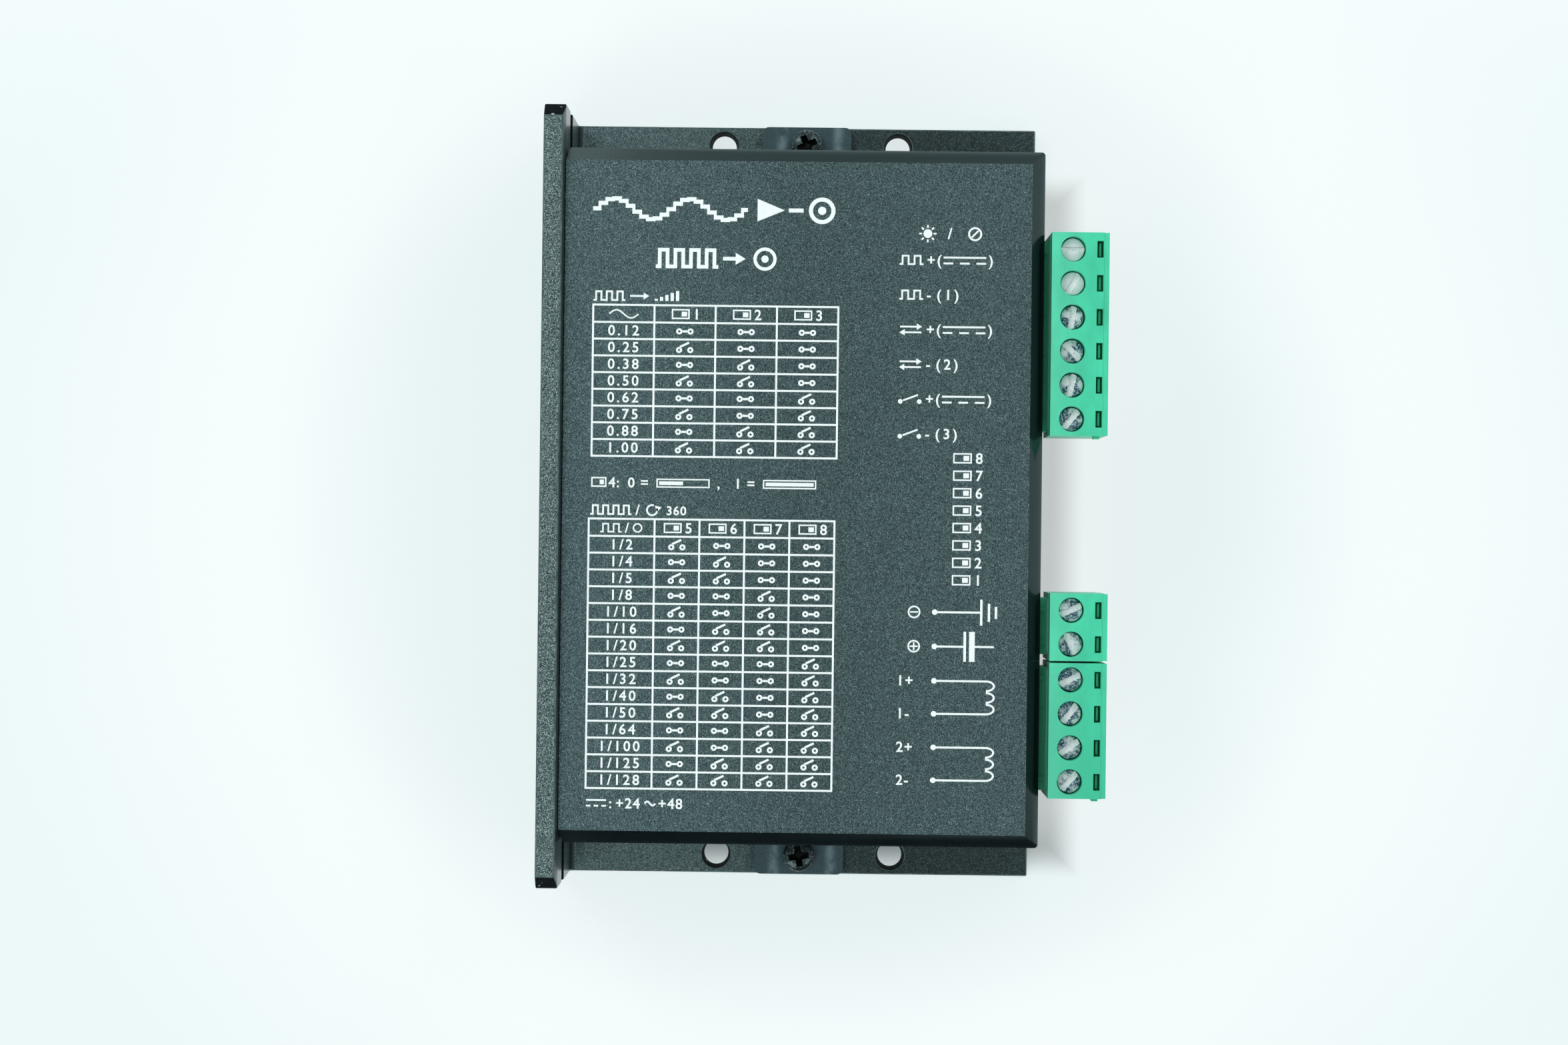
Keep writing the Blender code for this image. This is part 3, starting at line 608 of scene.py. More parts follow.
def paper():
    """A pale floor that glows evenly, but for painted shade below the object and painted light at the rear,
    in a ring round the object and beside the cover's right side.
    """
    s = Surface("paper_floor", specular=0.2)
    soft = s.ramp(s.noise(30.0, 3.0), (0.3, (0.15, 0.16, 0.158)), (0.7, (0.153, 0.163, 0.161)))
    s.bump(s.noise(0.5, 3.0), 0.05, 0.05)
    outside = [s.levels(s.math("ABSOLUTE", s.place("X"), 0), 0.036, 0.042),
               s.levels(s.place("Y"), 0.047, 0.053), s.levels(s.place("Y"), -0.054, -0.06)]
    # Painted light: a brighter patch on the floor beside the cover's right side.
    beside = s.times(s.levels(s.place("X"), 0.036, 0.06, 1.0, 0.0),
                     s.levels(s.math("ABSOLUTE", s.place("Y"), 0), 0.045, 0.064, 1.0, 0.0))
    beside = s.times(s.levels(s.place("X"), 0.032, 0.034), beside)
    # Painted shade: the floor's emission drops to about a quarter below the object's footprint.
    outside_painted_shade = s.math("MAXIMUM", s.math("MAXIMUM", *outside[:2]), outside[2])
    glow_with_painted_shade = s.ramp(outside_painted_shade, (0.0, (0.2, 0.24, 0.24)), (1.0, (0.83, 0.915, 0.925)))
    # Painted light: the floor glows lighter towards the rear.
    glow_with_painted_light = s.mix(s.levels(s.place("Y"), 0.035, 0.12), glow_with_painted_shade, (0.93, 0.99, 1.0))
    spread = s.math("ADD", *(s.times(s.place(axis), s.place(axis)) for axis in "XY"))
    # Painted light: a lighter ring round the object.
    ring = s.times(s.levels(spread, 0.004, 0.008), s.levels(spread, 0.008, 0.02, 0.8, 0.0))
    glow_with_painted_light = s.mix(ring, glow_with_painted_light, (0.935, 0.985, 0.985))
    s.feed(s.shader.inputs["Emission Color"], s.mix(s.times(beside, 0.45), glow_with_painted_light, (0.99, 1.0, 1.0)))
    s.shader.inputs["Emission Strength"].default_value = 0.84
    return s.finish(soft, 0.9)


# The cover's rounded edges: rubbed wear, and a lighter colour that paints the edges' highlight line.
WORN_AND_HIGHLIT_COAT = worn("worn_and_highlit_coat", 1.6, 0.5, ((0.35, (0.09, 0.13, 0.135)), (0.65, (0.3, 0.37, 0.375))),
                 (0.6, 0.66), (0.6, 0.66), (0.2, 0.02), (0.55, 0.62, 0.62), (0.32, 0.5))
WORN_ANODISED = worn("worn_anodised", 2.2, 0.7, ((0.4, (0.045, 0.068, 0.071)), (0.75, (0.14, 0.19, 0.19))),
                     (0.62, 0.67), (0.58, 0.64), (0.25, 0.03), (0.34, 0.38, 0.38), (0.3, 0.48))
LOOKS = {
    "powder_coat": (powder_coat(), WORN_AND_HIGHLIT_COAT),
    "anodised": (anodised(), WORN_ANODISED, cut_anodised()),
    # The plug towers' rear faces take a darker copy of the green: painted shade.
    "terminal_green": (terminal_green(), terminal_green("terminal_green_painted_shade", (0.01, 0.13, 0.078))),
    "black_screw": (black_screw(), black_recess()),
    "zinc_steel": (zinc(), milled_zinc()),
    "board_green": (board_mask(),),
    "pad_grey": (moulded("pad_grey", (0.42, 0.44, 0.47), (0.7, 0.85)),),
    "package_black": (moulded("package_black", (0.02, 0.02, 0.022), (0.45, 0.6)),),
    "can_sleeve": (moulded("can_sleeve", (0.025, 0.027, 0.05), (0.25, 0.4)),),
    "copper_winding": (winding(),),
    "clamp_nickel": (plain_metal("clamp_nickel", (0.66, 0.64, 0.58)),),
    "switch_red": (moulded("switch_red", (0.42, 0.018, 0.016), (0.3, 0.45)),),
    "slider_white": (moulded("slider_white", (0.82, 0.82, 0.78), (0.4, 0.55), spread=0.04),),
    "light_lens": (lens(),),
}
# Zinc without the painted reflection patches.
BRIGHT_ZINC = (zinc("zinc_bright", -1.0), LOOKS["zinc_steel"][1])
INK = (ink(),)
TIN = (plain_metal("tinned_pin", (0.78, 0.76, 0.7), (0.2, 0.35)),)


# Heatsink and cover

def from_wall(mesh):
    """Moves a mesh drawn from the wall's outer face to its place in the frame."""
    mesh.transform(Matrix.Translation((WALL * MM, 0, 0)))
    return mesh


def make_heatsink():
    low, high = GROOVE
    profile = [(0, 0), (BASE_RIGHT, 0), (BASE_RIGHT, BASE_THICK)]
    profile += arc((WALL_THICK + FOOT_FILLET, BASE_THICK + FOOT_FILLET), FOOT_FILLET, 270, 180, 8)
    profile += [(WALL_THICK, low), (GROOVE_BACK, low), (GROOVE_BACK, high), (WALL_THICK, high)]
    profile += [(WALL_THICK, WALL_TOP - WALL_SLANT), (WALL_TOP_THICK, WALL_TOP), (0, WALL_TOP)]
    holes = bmesh.new()
    for side in (-1, 1):
        end, fixing = side * LENGTH / 2, side * FIXING_Y
        for x, y, low_r, high_r in [(x, fixing, MOUNT_R - 0.32, MOUNT_R) for x in MOUNT_HOLES] + [
                (TAB[0], fixing, CLEAR_R, CLEAR_R), (POST[0], side * POST[1], CLEAR_R, CLEAR_R)]:
            grow = (high_r - low_r) / BASE_THICK
            add_rod(holes, (x, y, -1), (x, y, BASE_THICK + 1), low_r - grow, high_r + grow)
        corner = [(end - side * END_CHAMFER, WALL_TOP), (end, WALL_TOP - END_CHAMFER),
                  (end + side, WALL_TOP - END_CHAMFER), (end + side, WALL_TOP + 1),
                  (end - side * END_CHAMFER, WALL_TOP + 1)]
        add_prism(holes, corner, 0, -1, WALL_THICK + 1)
    for y, z in BRIDGE_HOLES:
        add_rod(holes, (1.2, y, z), (WALL_THICK + 1, y, z), CLEAR_R)
    body = shells(add_prism, profile, 1, -LENGTH / 2, LENGTH / 2)
    mesh = from_wall(solid("heatsink_extrusion", body, (CUT, holes), edge=HEAT_EDGE))
    # The third material: the wall's chamfered ends, and the hole bores and the groove, painted near-black as
    # painted shade.
    paint(mesh, 2, lambda at, normal: at.z > WALL_TOP - END_CHAMFER and abs(at.y) > LENGTH / 2 - END_CHAMFER
          and abs(normal.y) > 0.4 or at.z < BASE_THICK and abs(normal.z) < 0.5
          and abs(at.y) < LENGTH / 2 - 0.4 and at.x < WALL + BASE_RIGHT - 1
          or GROOVE[0] - 0.3 < at.z < GROOVE[1] + 0.3 and at.x < WALL + WALL_THICK + 0.1 and at.x > WALL + 1)
    piece("heatsink_extrusion", mesh, LOOKS["anodised"], "module", ["heatsink"])


def cover_form(inset):
    """The cover's outer form, or its hollow when inset by the sheet's thickness."""
    side, top, right = COVER_HALF_Y - inset, COVER_TOP - inset, COVER_RIGHT - inset
    fold = FOLD - inset * tan(radians(22.5))
    left = COVER_LEFT - (5 if inset else 0)
    foot = COVER_FOOT - (5 if inset else 0)
    corner = max(CORNER - inset, 0.05)
    points = []
    for across in (-1, 1):
        edge = COVER_Y + across * side
        for z in (foot, top - fold):
            points.append((left + (0 if inset else END_SLANT), edge, z))
            centre = (right - corner, edge - across * corner)
            points += [(x, y, z) for x, y in arc(centre, corner, 0, across * 90, 4)]
        points += [(left, edge - across * fold, top), (right - fold, edge - across * fold, top)]
    return shells(add_hull, points)


def make_cover():
    tabs, holes = bmesh.new(), bmesh.new()
    middle, width, corner = TAB
    for side in (-1, 1):
        end, root = side * LENGTH / 2, COVER_Y + side * (COVER_HALF_Y - SHEET)
        half, inner = width / 2, end - side * corner
        outline = [(middle - half, root), (middle + half, root)]
        outline += [(middle + half - corner + u, inner + side * v) for u, v in arc((0, 0), corner, 0, 90, 8)]
        outline += [(middle - half + corner - u, inner + side * v) for u, v in arc((0, 0), corner, 90, 0, 8)]
        add_prism(tabs, outline, 2, COVER_FOOT, COVER_FOOT + SHEET)
        add_rod(holes, (middle, side * FIXING_Y, 0), (middle, side * FIXING_Y, 10), CLEAR_R)
    add_box(holes, (COVER_RIGHT - 2, COVER_RIGHT + 1), WINDOW_Y, WINDOW_Z)
    y, z = LIGHT
    add_rod(holes, (COVER_RIGHT - 2, y, z), (COVER_RIGHT + 1, y, z), LIGHT_HOLE_R)
    gap = 0.3
    wall, foot = WALL_THICK + gap, WALL_THICK + FOOT_FILLET + gap
    foot_top, ledge = BASE_THICK + FOOT_FILLET + gap, GROOVE[0] + gap
    relief = shells(add_prism, [(0, 0), (foot, 0), (foot, foot_top), (wall, foot_top), (wall, ledge),
                                (0, ledge)], 1, -LENGTH, LENGTH)
    mesh = from_wall(solid("cover_shell", cover_form(0), (CUT, cover_form(SHEET)), (JOIN, tabs), (CUT, holes),
                           (CUT, relief), edge=COVER_EDGE))
    paint(mesh, 0, lambda at, normal: at.z > COVER_TOP - 0.5)
    piece("cover_shell", mesh, LOOKS["powder_coat"], "module", ["cover"])


def make_cover_screws():
    """Pan heads with a tapered cross recess."""
    high, radius, shank = 1.9, 2.5, 1.4
    profile = dome(radius, high, 1.05) + [(radius, 0), (shank, 0), (shank, -4.4), (shank - 0.3, -4.6),
                                          (0, -4.6)]
    recess = bmesh.new()
    for across in (0, 1):
        ends = []
        for z, reach, half in ((high + 0.5, 2.0, 0.6), (high - 0.9, 1.3, 0.4), (high - 1.5, 0.5, 0.25)):
            for u, v in ((reach, half), (reach, -half), (-reach, half), (-reach, -half)):
                ends.append((v, u, z) if across else (u, v, z))
        add_hull(recess, ends)
    mesh = solid("cover_screw", shells(add_turned, profile), (CUT, recess), edge=0.05)
    paint(mesh, 0)
    paint(mesh, 1, lambda at, normal: at.z > 0.2 and hypot(at.x, at.y) < 2.0
          and (abs(normal.z) < 0.8 or at.z < 1.0))
    for mark, side in (("rear", 1), ("front", -1)):
        top = box("cover_screw_" + mark)[1].z
        piece(f"pan_head_{mark}", mesh.copy(), LOOKS["black_screw"], "module",
              ["cover_screw_" + mark], (WALL + TAB[0], side * FIXING_Y, top - high), 24 if side > 0 else 8)


# Terminals

def make_plugs():
    for side, poles in PLUGS.items():
        node = side + "_plug"
        low, high = box(node)
        rear, foot, top = high.x - TOWER_DEEP, low.z, high.z
        places = [AXES[f"{side}_screw_{i}"].y for i in range(1, poles + 1)]
        middle, half = (low.y + high.y) / 2, (high.y - low.y) / 2

        def across(first, last):
            return (rear + first, rear + last)

        def up(first, last):
            return (foot + first, foot + last)

        tower = shells(add_box, across(0, TOWER_DEEP), (low.y, high.y), (foot, top))
        nose_half = half - NOSE_INSET + 0.03
        added = shells(add_box, (low.x, rear + 0.5), (middle - nose_half, middle + nose_half), up(*NOSE_Z))
        ribs = bmesh.new()
        for y in places:
            add_box(ribs, (low.x + 0.4, rear - 0.3), (y - 0.3, y + 0.3),
                    up(NOSE_Z[1] - 0.5, NOSE_Z[1] + 0.35))
        if poles > 2:
            add_box(ribs, across(6.6, 7.5), (low.y - 0.4, low.y + 0.5), up(11.0, 14.0))
        wells, entries, trims = bmesh.new(), bmesh.new(), bmesh.new()
        for y in places:
            add_box(wells, across(*CHAMBER_X), (y - CHAMBER_HALF, y + CHAMBER_HALF), up(*CHAMBER_Z))
            add_rod(wells, (rear + SCREW_AXIS, y, foot + WELL_FLOOR), (rear + SCREW_AXIS, y, top + 1), WELL_R)
            start, end, reach = TEST_SLOT
            inner = (start + 0.2, end - 0.2)
            for span, near, far, deep in (((start, start + 0.34), -reach, reach, SLOT_DEEP),
                                          ((start + 0.66, end), -reach, reach, SLOT_DEEP),
                                          (inner, -reach, 0.25 - reach, SLOT_DEEP),
                                          (inner, reach - 0.25, reach, SLOT_DEEP),
                                          (inner, 0.12 - reach, reach - 0.12, TONGUE_DEEP)):
                add_box(wells, across(*span), (y + near, y + far), (top - deep, top + 1))
            add_box(wells, (low.x - 1, rear - 1.2), (y - SOCKET_HALF, y + SOCKET_HALF), up(*SOCKET_Z))
            add_rod(entries, *((rear + SCREW_AXIS, y, z) for z in up(*NECK_Z)), NECK_R)
            wide, bottom, roof = ENTRY
            add_box(entries, across(CHAMBER_X[1] - 0.5, TOWER_DEEP + 1), (y - wide, y + wide),
                    up(bottom, roof))
            add_hull(trims, [(rear + TOWER_DEEP + x, y + w, foot + z) for x, grow in ((-0.9, 0), (0.1, 0.5))
                             for w in (-wide - grow, wide + grow) for z in (bottom - grow, roof + grow)])
        add_box(trims, across(-1, 0.7), (low.y + 0.9, high.y - 0.9), up(NOSE_Z[1] + 0.4, 11.6))
        for i in range(1, poles):
            y = middle + (i - poles / 2) * PITCH
            add_prism(trims, [(rear + TOWER_DEEP - 0.25, y), (rear + TOWER_DEEP + 0.1, y - 0.28),
                              (rear + TOWER_DEEP + 0.1, y + 0.28)], 2, foot - 1, foot + 9.5)
        add_box(trims, across(PARTING - 0.03, PARTING + 0.03), (low.y - 1, high.y + 1), (top - 0.05, top + 1))
        for edge, outward in ((low.y, -1), (high.y, 1)):
            add_box(trims, across(PARTING, TOWER_DEEP + 1), sorted((edge - outward * 0.06, edge + outward)),
                    (foot - 1, top + 1))
        mesh = solid(side + "_housing", tower, (JOIN, added), (JOIN, ribs), (CUT, wells), (CUT, entries),
                     (CUT, trims), edge=0.08)
        paint(mesh, 0)
        # The rear faces take the darker green, as painted shade.
        paint(mesh, 1, lambda at, normal: normal.x < -0.9 and rear - 0.1 < at.x < rear + 1)
        piece(side + "_housing", mesh, LOOKS["terminal_green"], node, [node])

        bars = bmesh.new()
        for y in places:
            add_box(bars, across(0.6, 5.9), (y - 1.05, y + 1.05), up(4.9, 5.65))
            for tilt in (-1, 1):
                add_hull(bars, [(rear + x, y + v, foot + 5.2 + tilt * z)
                                for x, drop in ((-6.8, 0.95), (-3.4, 0.42), (1.0, 0.9))
                                for v in (-0.8, 0.8) for z in (drop, drop + 0.3)])
        piece(side + "_contacts", solid(side + "_contacts", bars, edge=0.04), TIN, node)


def make_terminal_screws():
    """Slotted cheese heads with a slight dome."""
    high, shank, tip = 2.0, 1.2, -5.5
    profile = [(0, high), (SCREW_R * 0.5, high - 0.06), (SCREW_R - 0.3, high - 0.17),
               (SCREW_R - 0.08, high - 0.27), (SCREW_R, high - 0.42), (SCREW_R, 0.1), (SCREW_R - 0.1, 0),
               (shank, 0), (shank, tip + 0.3), (shank - 0.3, tip), (0, tip)]
    half = SLOT_WIDE / 2
    floor = [(-half, -0.2), (-0.26, -0.26), (-0.2, -0.36), (-0.1, -0.32), (0.06, -0.38), (0.1, -0.45),
             (0.2, -0.42), (half - 0.1, -0.48), (half, -0.6)]
    outline = [(-half, 1), *floor, (half, 1)]
    slot = shells(add_prism, [(y, high + z) for y, z in outline], 0, -4, 4)
    mesh = solid("terminal_screw", shells(add_turned, profile), (CUT, slot), edge=0.05)
    paint(mesh, 0)
    paint(mesh, 1, lambda at, normal: high - 1.1 < at.z < high - 0.02 and abs(at.y) < half + 0.06
          and (normal.z > 0.8 or abs(normal.y) > 0.5))
    for side, turns in SLOT_TURNS.items():
        for i, turn in enumerate(turns, 1):
            name = f"{side}_screw_{i}"
            axis = AXES[name]
            base = box(name)[1].z - high
            looks = BRIGHT_ZINC if side == "control" and i < 3 else LOOKS["zinc_steel"]
            piece(f"{side}_cheese_head_{i}", mesh.copy(), looks, name, [name],
                  (axis.x, axis.y, base), turn)


def make_headers():
    """The sockets that the plugs push into, and their pins."""
    floor, roof, inset, wall = 0.8, 1.0, 0.4, 3.9
    for name in ("control_header", "output_header"):
        low, high = box(name)
        middle = (low.y + high.y) / 2
        side = middle - PITCH * 3, middle + PITCH * 3
        body = shells(add_box, (low.x, high.x), (low.y, high.y), (low.z, high.z))
        hollow = shells(add_box, (low.x + wall, high.x + 5), (side[0] + inset, side[1] - inset),
                        (low.z + floor, high.z - roof))
        cuts, pins = bmesh.new(), bmesh.new()
        for i in range(6):
            y = middle + (i - 2.5) * PITCH
            add_box(cuts, (high.x - 2.2, high.x + 1), (y - 0.45, y + 0.45), (high.z - roof - 0.1, high.z + 1))
            add_box(cuts, (low.x - 1, low.x + 1.2), (y - 0.9, y + 0.9), (low.z - 1, low.z + 3.4))
            add_box(pins, (low.x + wall - 2.4, high.x - 1.0), (y - 0.5, y + 0.5), (low.z + 3.2, low.z + 4.2))
        mesh = solid(name + "_housing", body, (CUT, hollow), (CUT, cuts), edge=0.12)
        paint(mesh, 0)
        piece(name + "_housing", mesh, LOOKS["terminal_green"], "module", [name])
        piece(name + "_pins", solid(name + "_pins", pins, edge=0.18), TIN, "module")


def make_light():
    """A 3 mm lamp with its flange and leads."""
    low, high = box("status_light")
    y, z = (low.y + high.y) / 2, high.z - 1.9
    radius, length = 1.5, 4.9
    profile = dome(radius, length, radius) + [(radius, 0.9), (radius + 0.4, 0.9), (radius + 0.4, 0), (0, 0)]
    bulb = shells(add_turned, profile, sides=40)
    bulb.transform(Matrix.Translation((high.x - length, y, z)) @ Matrix.Rotation(pi / 2, 4, "Y"))
    piece("lamp_lens", solid("lamp_lens", bulb, edge=0.06), LOOKS["light_lens"], "module",
          ["status_light"])
    leads = bmesh.new()
    back = high.x - length
    for offset in (-1.27, 1.27):
        drop = [(back - 0.05, 0.25), (back - 0.9, 0.25), (back - 0.9, low.z - z), (back - 0.4, low.z - z),
                (back - 0.4, -0.25), (back - 0.05, -0.25)]
        add_prism(leads, [(x, z + up) for x, up in drop], 1, y + offset - 0.25, y + offset + 0.25)
    piece("lamp_leads", solid("lamp_leads", leads, edge=0.06), TIN, "module")


def dress_cad_nodes():
    """The CAD nodes that stay: clean flat faces, small rounded edges and their material."""
    for part in frame["record"]["subparts"]:
        obj = frame["nodes"][part["node"]]
        if obj.hide_render:
            continue
        obj.data.materials.clear()
        obj.data.materials.append(LOOKS[part["material_slot"]][0])
        obj.data.shade_smooth()
        obj.modifiers.new("Weld", "WELD").merge_threshold = 0.002 * MM
        flat = obj.modifiers.new("Flat", "DECIMATE")
        flat.decimate_type = "DISSOLVE"
        flat.angle_limit = radians(2)
        round_edges(obj, 0.07 * MM, 35)


# Print: thin slabs of white ink. It holds only digits, plain signs and pictograms.

INK_LOW, INK_HIGH = -0.006, 0.014
LINE = 0.22
GRID_LINE = 0.29
DIGIT_SHARE = 0.69               # a digit's height over the font's size


def contact(sheet, x, y, closed):
    """A switch contact around the given middle: two posts with a straight or a raised arm."""
    post, arm = 0.46, 0.32
    level = y - (0 if closed else 0.28)
    for side in (-1, 1):
        sheet.ring((x + side * 0.84, level), post, 0.29)
    if closed:
        sheet.bar(x - 0.42, y - arm / 2, x + 0.42, y + arm / 2)
    else:
        sheet.stroke([(x - 0.72, level + 0.46), (x + 0.66, y + 0.84)], arm)


class Print:
    """Ink on a flat face: outlines and digits are laid in (x, y) and then turned onto the face."""

    def __init__(self):
        self.bm = bmesh.new()

    def patch(self, *outlines):
        for outline in outlines:
            add_prism(self.bm, outline, 2, INK_LOW, INK_HIGH)

    def bar(self, x0, y0, x1, y1):
        self.patch([(x0, y0), (x1, y0), (x1, y1), (x0, y1)])

    def stroke(self, points, width=LINE):
        """A line of even width through the points, with mitred corners."""
        points = [Vector(p) for p in points]
        ways = [(b - a).normalized() for a, b in zip(points, points[1:])]
        sides = []
        for i, point in enumerate(points):
            before, after = ways[max(i - 1, 0)], ways[min(i, len(ways) - 1)]
            normal = Vector((-before.y - after.y, before.x + after.x)).normalized()
            reach = width / 2 / max(normal.dot(Vector((-after.y, after.x))), 0.3)
            sides.append((point + normal * reach, point - normal * reach))
        self.patch([tuple(a) for a, _ in sides] + [tuple(b) for _, b in reversed(sides)])

    def sector(self, centre, radii, first, last, width=LINE):
        """Part of a ring or of an oval, with its outer radii."""
        rings = [[(centre[0] + c * (radii[0] - back), centre[1] + s * (radii[1] - back))
                  for c, s in arc((0, 0), 1, first, last, 20)] for back in (0, width)]
        self.patch(rings[0] + rings[1][::-1])

    def ring(self, centre, radius, width=LINE):
        for first in (0, 180):
            self.sector(centre, (radius, radius), first, first + 180, width)

    def disc(self, centre, radius):
        self.patch(arc(centre, radius, 0, 352.5, 47))

    def text(self, body, x, y, high=1.45, align="LEFT", spread=1.12):
        """Digits and signs in the built-in font, from the baseline up."""
        curve = bpy.data.curves.new("print", "FONT")
        curve.body = body
        curve.size = high / DIGIT_SHARE
        curve.align_x = align
        curve.space_character = spread
        curve.resolution_u = 3
        curve.extrude = (INK_HIGH - INK_LOW) / 2
        curve.offset = 0.035
        obj = show("print", curve)
        mesh = applied(obj)
        mesh.transform(Matrix.Translation((x, y, (INK_HIGH + INK_LOW) / 2)))
        self.bm.from_mesh(mesh)
        bpy.data.batch_remove([obj, mesh, curve])

    def pulses(self, x, y, count, wide, high, width=LINE):
        """A square wave on a baseline."""
        step, points = wide / count, [(x, y)]
        for i in range(count):
            left = x + i * step
            rise, fall = left + step * 0.25, left + step * 0.75
            points += [(rise, y), (rise, y + high), (fall, y + high), (fall, y)]
        self.stroke(points + [(x + wide, y)], width)

    def arrow(self, x, y, wide, head=0.75, width=LINE):
        """An arrow to the right, or to the left where wide is below 0."""
        way = copysign(1, wide)
        tip = x + wide
        self.bar(min(x, tip - way * head), y - width / 2, max(x, tip - way * head), y + width / 2)
        self.patch([(tip, y), (tip - way * head, y + head * 0.6), (tip - way * head, y - head * 0.6)])

    def wave(self, x, y, wide, high, width=LINE):
        """One period of a sine."""
        self.stroke([(x + wide * i / 20, y + high * sin(tau * i / 20)) for i in range(21)], width)

    def direct_current(self, x, y, wide, width=LINE):
        """A long line over three dashes."""
        self.bar(x, y + 0.3, x + wide, y + 0.3 + width)
        dash = wide / 4.4
        for i in range(3):
            left = x + i * dash * 1.7
            self.bar(left, y - 0.3 - width, left + dash, y - 0.3)

    def switch(self, x, y, wide=2.3, high=1.5):
        """A slide switch seen from above, with its slider at one end."""
        edge = 0.22
        self.bar(x, y, x + wide, y + edge)
        self.bar(x, y + high - edge, x + wide, y + high)
        self.bar(x, y + edge, x + edge, y + high - edge)
        self.bar(x + wide - edge, y + edge, x + wide, y + high - edge)
        self.bar(x + wide * 0.55, y + 0.4, x + wide - 0.4, y + high - 0.4)

    def grid(self, columns, rows, width=GRID_LINE):
        """Lines at the given x and y places, which are in order."""
        half = width / 2
        for y in rows:
            self.bar(columns[0] - half, y - half, columns[-1] + half, y + half)
        for x in columns:
            for low, high in zip(sorted(rows), sorted(rows)[1:]):
                self.bar(x - half, low + half, x + half, high - half)

    def mesh(self, name, place):
        bmesh.ops.recalc_face_normals(self.bm, faces=self.bm.faces)
        mesh = bpy.data.meshes.new(name)
        self.bm.to_mesh(mesh)
        self.bm.free()
        mesh.transform(Matrix.Scale(MM, 4) @ place)
        return mesh


def table(sheet, left, widths, top, first_row, row, labels, switches, pattern):
    """A ruled table: a heading row of switch signs, then rows of a label and a contact for each switch."""
    columns = [left]
    for width in widths:
        columns.append(columns[-1] + width)
    rows = [top, top - first_row] + [top - first_row - row * (i + 1) for i in range(len(labels))]
    sheet.grid(columns, rows)
    middles = [(a + b) / 2 for a, b in zip(columns, columns[1:])]
    head = top - first_row / 2 - 0.76
    for middle, switch in zip(middles[1:], switches):
        sheet.switch(middle - 2.0, head, 2.7, 1.52)
        sheet.text(str(switch), middle + 1.2, head, 1.52)
    for i, label in enumerate(labels):
        base = rows[i + 1] - row / 2 - 0.66
        sheet.text(label, middles[0], base - 0.05, 1.5, "CENTER", 1.3)
        for k, middle in enumerate(middles[1:]):
            contact(sheet, middle, base + 0.62, pattern(i, k))
    return middles[0], head


def print_headings(sheet):
    """A stepped sine wave into an amplifier and a motor, then a pulse train into a rotor."""
    start, step, half, rise = 7.5, 1.02, 0.31, 1.55
    levels = [43.3 + rise * sin(tau * i / 11) for i in range(23)]
    for i, level in enumerate(levels):
        left = start + step * i
        sheet.bar(left + half * 0.7 if i else left, level - half, left + step - half * 0.7, level + half)
        if i + 1 < len(levels):
            after = levels[i + 1]
            sheet.bar(left + step - half * 0.7, min(level, after) - half, left + step + half * 0.7,
                      max(level, after) + half)
    sheet.patch([(32.2, 41.6), (36.3, 43.3), (32.2, 45.0)])
    sheet.bar(36.9, 43.0, 39.1, 43.6)
    sheet.ring((41.9, 43.3), 2.0, 0.62)
    sheet.disc((41.9, 43.3), 0.62)
    sheet.pulses(17.0, 34.7, 4, 9.4, 2.5, 0.55)
    sheet.arrow(27.1, 35.95, 3.4, 1.5, 0.55)
    sheet.ring((33.4, 35.95), 1.75, 0.5)
    sheet.disc((33.4, 35.95), 0.55)
    sheet.pulses(7.7, 29.55, 3, 4.8, 1.3, 0.27)
    sheet.arrow(13.2, 30.2, 2.9, 0.85, 0.27)
    for i in range(5):
        sheet.bar(16.9 + i * 0.8, 29.5, 17.38 + i * 0.8, 29.8 + i * 0.3)
    sheet.pulses(7.6, -2.6, 4, 6.2, 1.3, 0.27)
    sheet.text("/", 14.4, -2.7, 1.5)
    sheet.sector((16.9, -1.95), (0.9, 0.9), 70, 380, 0.27)
    sheet.patch([(17.3, -1.25), (18.35, -1.5), (17.65, -2.2)])
    sheet.text("360", 19.0, -2.65, 1.3)


def print_note(sheet):
    """Switch 4: a half-filled gauge at 0, a full one at 1."""
    y, high = 1.45, 1.35
    sheet.switch(7.7, y)
    sheet.text("4:", 10.3, y)
    for start, digit, share in ((13.2, "0", 0.5), (29.2, "1", 1.0)):
        sheet.text(digit + " =", start, y)
        left, wide = start + 4.3, 8.0
        for a, b in ((left, left + 0.2), (left + wide - 0.2, left + wide)):
            sheet.bar(a, y, b, y + high)
        sheet.bar(left + 0.2, y, left + wide - 0.2, y + 0.2)
        sheet.bar(left + 0.2, y + high - 0.2, left + wide - 0.2, y + high)
        sheet.bar(left + 0.4, y + 0.4, left + 0.4 + (wide - 0.8) * share, y + high - 0.4)
    sheet.text(",", 26.6, y)


